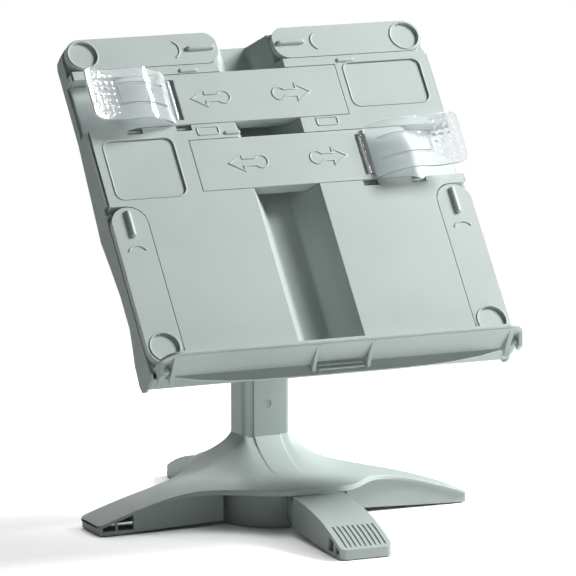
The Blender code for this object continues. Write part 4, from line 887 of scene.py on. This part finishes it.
tray("ledge_tray_left", -TRAY_END, -TRAY_INNER, TRAY_FOOT)
tray("ledge_tray_middle", -GRIP_TRAY_HALF, GRIP_TRAY_HALF, GRIP_FOOT)
tray("ledge_tray_right", TRAY_INNER, TRAY_END, TRAY_FOOT)
for number, b in enumerate(LEDGE_RIDGES_B, 1):
    path = np.array([(a, b) for a in np.linspace(-LEDGE_RIDGE_END, LEDGE_RIDGE_END, 9)]) * MM
    ridge(f"ledge_ridge_{number}", path, LEDGE_RIDGE_HALF, LEDGE_RIDGE_HIGH, "book_ledge", level=SKIRT_FACE)
print("marks made")

# %% [markdown]
# ## Clear page clips
# Each clip is one springy sheet that rises steeply from its hinge, runs level over the pages and curls up
# at its end. The height of the sheet over its hinge is a smooth curve through a few places read from the
# photograph. A slit frees a tongue in the middle, and the outer pad carries rows of grip bumps.

# %% Clip surfaces
CLIP_REACH = 77.5 * MM
CLIP_RISE = 22.4 * MM
CLIP_THICK = 2.0 * MM
CLIP_HALF = 23 * MM
CLIP_CORNER = 7 * MM
CLIP_NECK = 4.5 * MM
CLIP_A = 75 * MM
CLIP_C = -2.2 * MM
CLIP_START = 1.5 * MM
CLIP_EDGE = 0.5 * MM
CLIP_CRISP = np.radians(60)
CURVE_SHARES = np.array([(0.0, 0.0), (0.05, 0.16), (0.12, 0.37), (0.21, 0.57), (0.31, 0.73), (0.42, 0.81),
                         (0.52, 0.81), (0.61, 0.75), (0.7, 0.74), (0.8, 0.8), (0.9, 0.89), (1.0, 1.0)])
CURVE_STEPS = 601
SMOOTH_STEPS = 111
NECK_STEPS = 5
ROOT_STEPS = 9
TONGUE_STEPS = 60
END_STEPS = 56
CORNER_STEPS = 26
CORNER_TURN = np.pi / 2 - 0.05
MIDDLE_STEPS = 38
WING_STEPS = 28
BARREL_SIDES = 32
TONGUE = np.array([10, 52]) * MM
TONGUE_HALF = 10 * MM
SLIT = 1.6 * MM
BUMP_PITCH = np.array([5.4, 5.6]) * MM
BUMP_RADIUS = 2.5 * MM
BUMP_HIGH = 0.8 * MM
BUMP_MIDDLE = 64.5 * MM
BARREL_HALF = 17.7 * MM
BARREL_BORE = 1.6 * MM
BARREL_RADIUS = 2.4 * MM
BARREL_CHAMFER = 0.3 * MM


def clip_height(u):
    """Height of the sheet at a share of its reach: the curve's points, smoothed by a moving mean."""
    fine = np.linspace(-0.1, 1.1, CURVE_STEPS)
    before = CURVE_SHARES[0] - (CURVE_SHARES[1] - CURVE_SHARES[0]) * 2
    after = CURVE_SHARES[-1] + (CURVE_SHARES[-1] - CURVE_SHARES[-2])
    knots = np.vstack([before, CURVE_SHARES, after])
    rise = np.interp(fine, knots[:, 0], knots[:, 1])
    window = np.hanning(SMOOTH_STEPS)
    smooth = np.convolve(rise, window / window.sum(), mode="same")
    return np.interp(u, fine, smooth) * CLIP_RISE


def bumps(u, v):
    """Four rows of seven low domes on the outer pad: h max(0, 1 - r^2/R^2)."""
    du = (u - BUMP_MIDDLE) / BUMP_PITCH[0] - 0.5
    dv = v / BUMP_PITCH[1]
    inside = (np.abs(u - BUMP_MIDDLE) < 2 * BUMP_PITCH[0]) & (np.abs(v) < 3.5 * BUMP_PITCH[1])
    near_u = (du - np.round(du)) * BUMP_PITCH[0]
    near_v = (dv - np.round(dv)) * BUMP_PITCH[1]
    dome = np.clip(1 - (near_u ** 2 + near_v ** 2) / BUMP_RADIUS ** 2, 0, None)
    return np.where(inside, dome * BUMP_HIGH, 0)


def clip_sheet(name, node, side, middle):
    """Sheet of one clip; side is -1 for the clip that reaches to the reader's left."""
    corner_turn = np.linspace(0, CORNER_TURN, CORNER_STEPS)[1:]
    u = np.concatenate([np.linspace(CLIP_START, CLIP_NECK, NECK_STEPS),
                        np.linspace(CLIP_NECK, TONGUE[0], ROOT_STEPS)[1:],
                        np.linspace(TONGUE[0], TONGUE[1] - SLIT, TONGUE_STEPS)[1:], [TONGUE[1]],
                        np.linspace(TONGUE[1], CLIP_REACH - CLIP_CORNER, END_STEPS)[1:],
                        CLIP_REACH - CLIP_CORNER + CLIP_CORNER * np.sin(corner_turn)])
    half = np.where(u < CLIP_NECK, BARREL_HALF, CLIP_HALF)
    past = np.clip(u - CLIP_REACH + CLIP_CORNER, 0, CLIP_CORNER)
    half = half - CLIP_CORNER + np.sqrt(CLIP_CORNER ** 2 - past ** 2)
    inner = TONGUE_HALF - SLIT
    middle_v = np.linspace(-inner, inner, MIDDLE_STEPS)
    steps = np.linspace(0, 1, WING_STEPS)
    rows_v = []
    for h in half:
        wing = TONGUE_HALF + (h - TONGUE_HALF) * steps
        rows_v.append(np.concatenate([-wing[::-1], middle_v, wing]))
    v = np.array(rows_v)
    uu = np.broadcast_to(u[:, None], v.shape)
    line = clip_height(u / CLIP_REACH)
    slope = np.gradient(line, u)
    normal_u = -slope / np.sqrt(1 + slope ** 2)
    normal_c = 1 / np.sqrt(1 + slope ** 2)
    count = v.shape[1]
    wing_count = len(steps)
    sheets = []
    for way in (1, -1):
        offset = CLIP_THICK / 2 + (bumps(uu, v) if way > 0 else 0)
        place_u = uu + way * offset * normal_u[:, None]
        place_c = line[:, None] + way * offset * normal_c[:, None] + CLIP_C
        a = side * (CLIP_A + place_u)
        sheets.append(on_panel(a, middle + v, place_c))
    points = np.concatenate([sheet.reshape(-1, 3) for sheet in sheets])
    step = v.size
    in_slit = (wing_count - 1, wing_count - 1 + len(middle_v))
    faces = []
    open_u = (u[:-1] >= TONGUE[0] - LEAST) & (u[1:] <= TONGUE[1] + LEAST)
    cross_u = (u[:-1] >= TONGUE[1] - SLIT - LEAST) & (u[1:] <= TONGUE[1] + LEAST)
    kept = np.ones((len(u) - 1, count - 1), bool)
    for column in in_slit:
        kept[open_u, column] = False
    kept[cross_u, in_slit[0]:in_slit[1] + 1] = False
    edges = {}
    for i, j in zip(*np.nonzero(kept)):
        quad = (i * count + j, i * count + j + 1, (i + 1) * count + j + 1, (i + 1) * count + j)
        quad = tuple(int(k) for k in quad)
        faces.append(quad)
        faces.append(tuple(step + k for k in reversed(quad)))
        for first, second in zip(quad, quad[1:] + quad[:1]):
            edges[(first, second)] = edges.get((first, second), 0) + 1
    for first, second in edges:
        if (second, first) not in edges:
            faces.append((second, first, step + first, step + second))
    piece = surface(name, points, faces, clear, frame["nodes"][node]["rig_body"], SKIN_CREASE)
    bevel = piece.modifiers.new("edge", "BEVEL")
    bevel.width = CLIP_EDGE
    bevel.segments = 2
    bevel.limit_method = "ANGLE"
    bevel.angle_limit = CLIP_CRISP
    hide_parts(node)
    return piece


def clip_barrel(name, node, side, middle):
    """Hinge barrel of a clip, a rod with a bore for its pin."""
    turn = np.linspace(0, 2 * np.pi, BARREL_SIDES + 1)[:-1]
    rows = []
    chamfered = BARREL_RADIUS - BARREL_CHAMFER
    half_profile = ((BARREL_HALF, BARREL_BORE), (BARREL_HALF, chamfered),
                    (BARREL_HALF - BARREL_CHAMFER, BARREL_RADIUS))
    profile = [(-v, radius) for v, radius in half_profile] + list(half_profile[::-1])
    for v, radius in profile:
        a = side * CLIP_A + radius * np.cos(turn)
        rows.append(on_panel(a, middle + v, CLIP_C + radius * np.sin(turn)))
    points, faces = skinned(np.array(rows), caps=False)
    piece = surface(name, points, faces, clear, frame["nodes"][node]["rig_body"], SKIN_CREASE)
    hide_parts(node)
    return piece


for node, side, middle in (("upper_clip", -1, BAR_UPPER_B), ("lower_clip", 1, BAR_LOWER_B)):
    clip_sheet(node + "_sheet", node, side, middle)
    clip_barrel(node + "_barrel", node, side, middle)
print("clips made")

# %% Size
size = {"cad": [list(corner) for corner in cad_box], "visual": [list(corner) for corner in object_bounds()]}
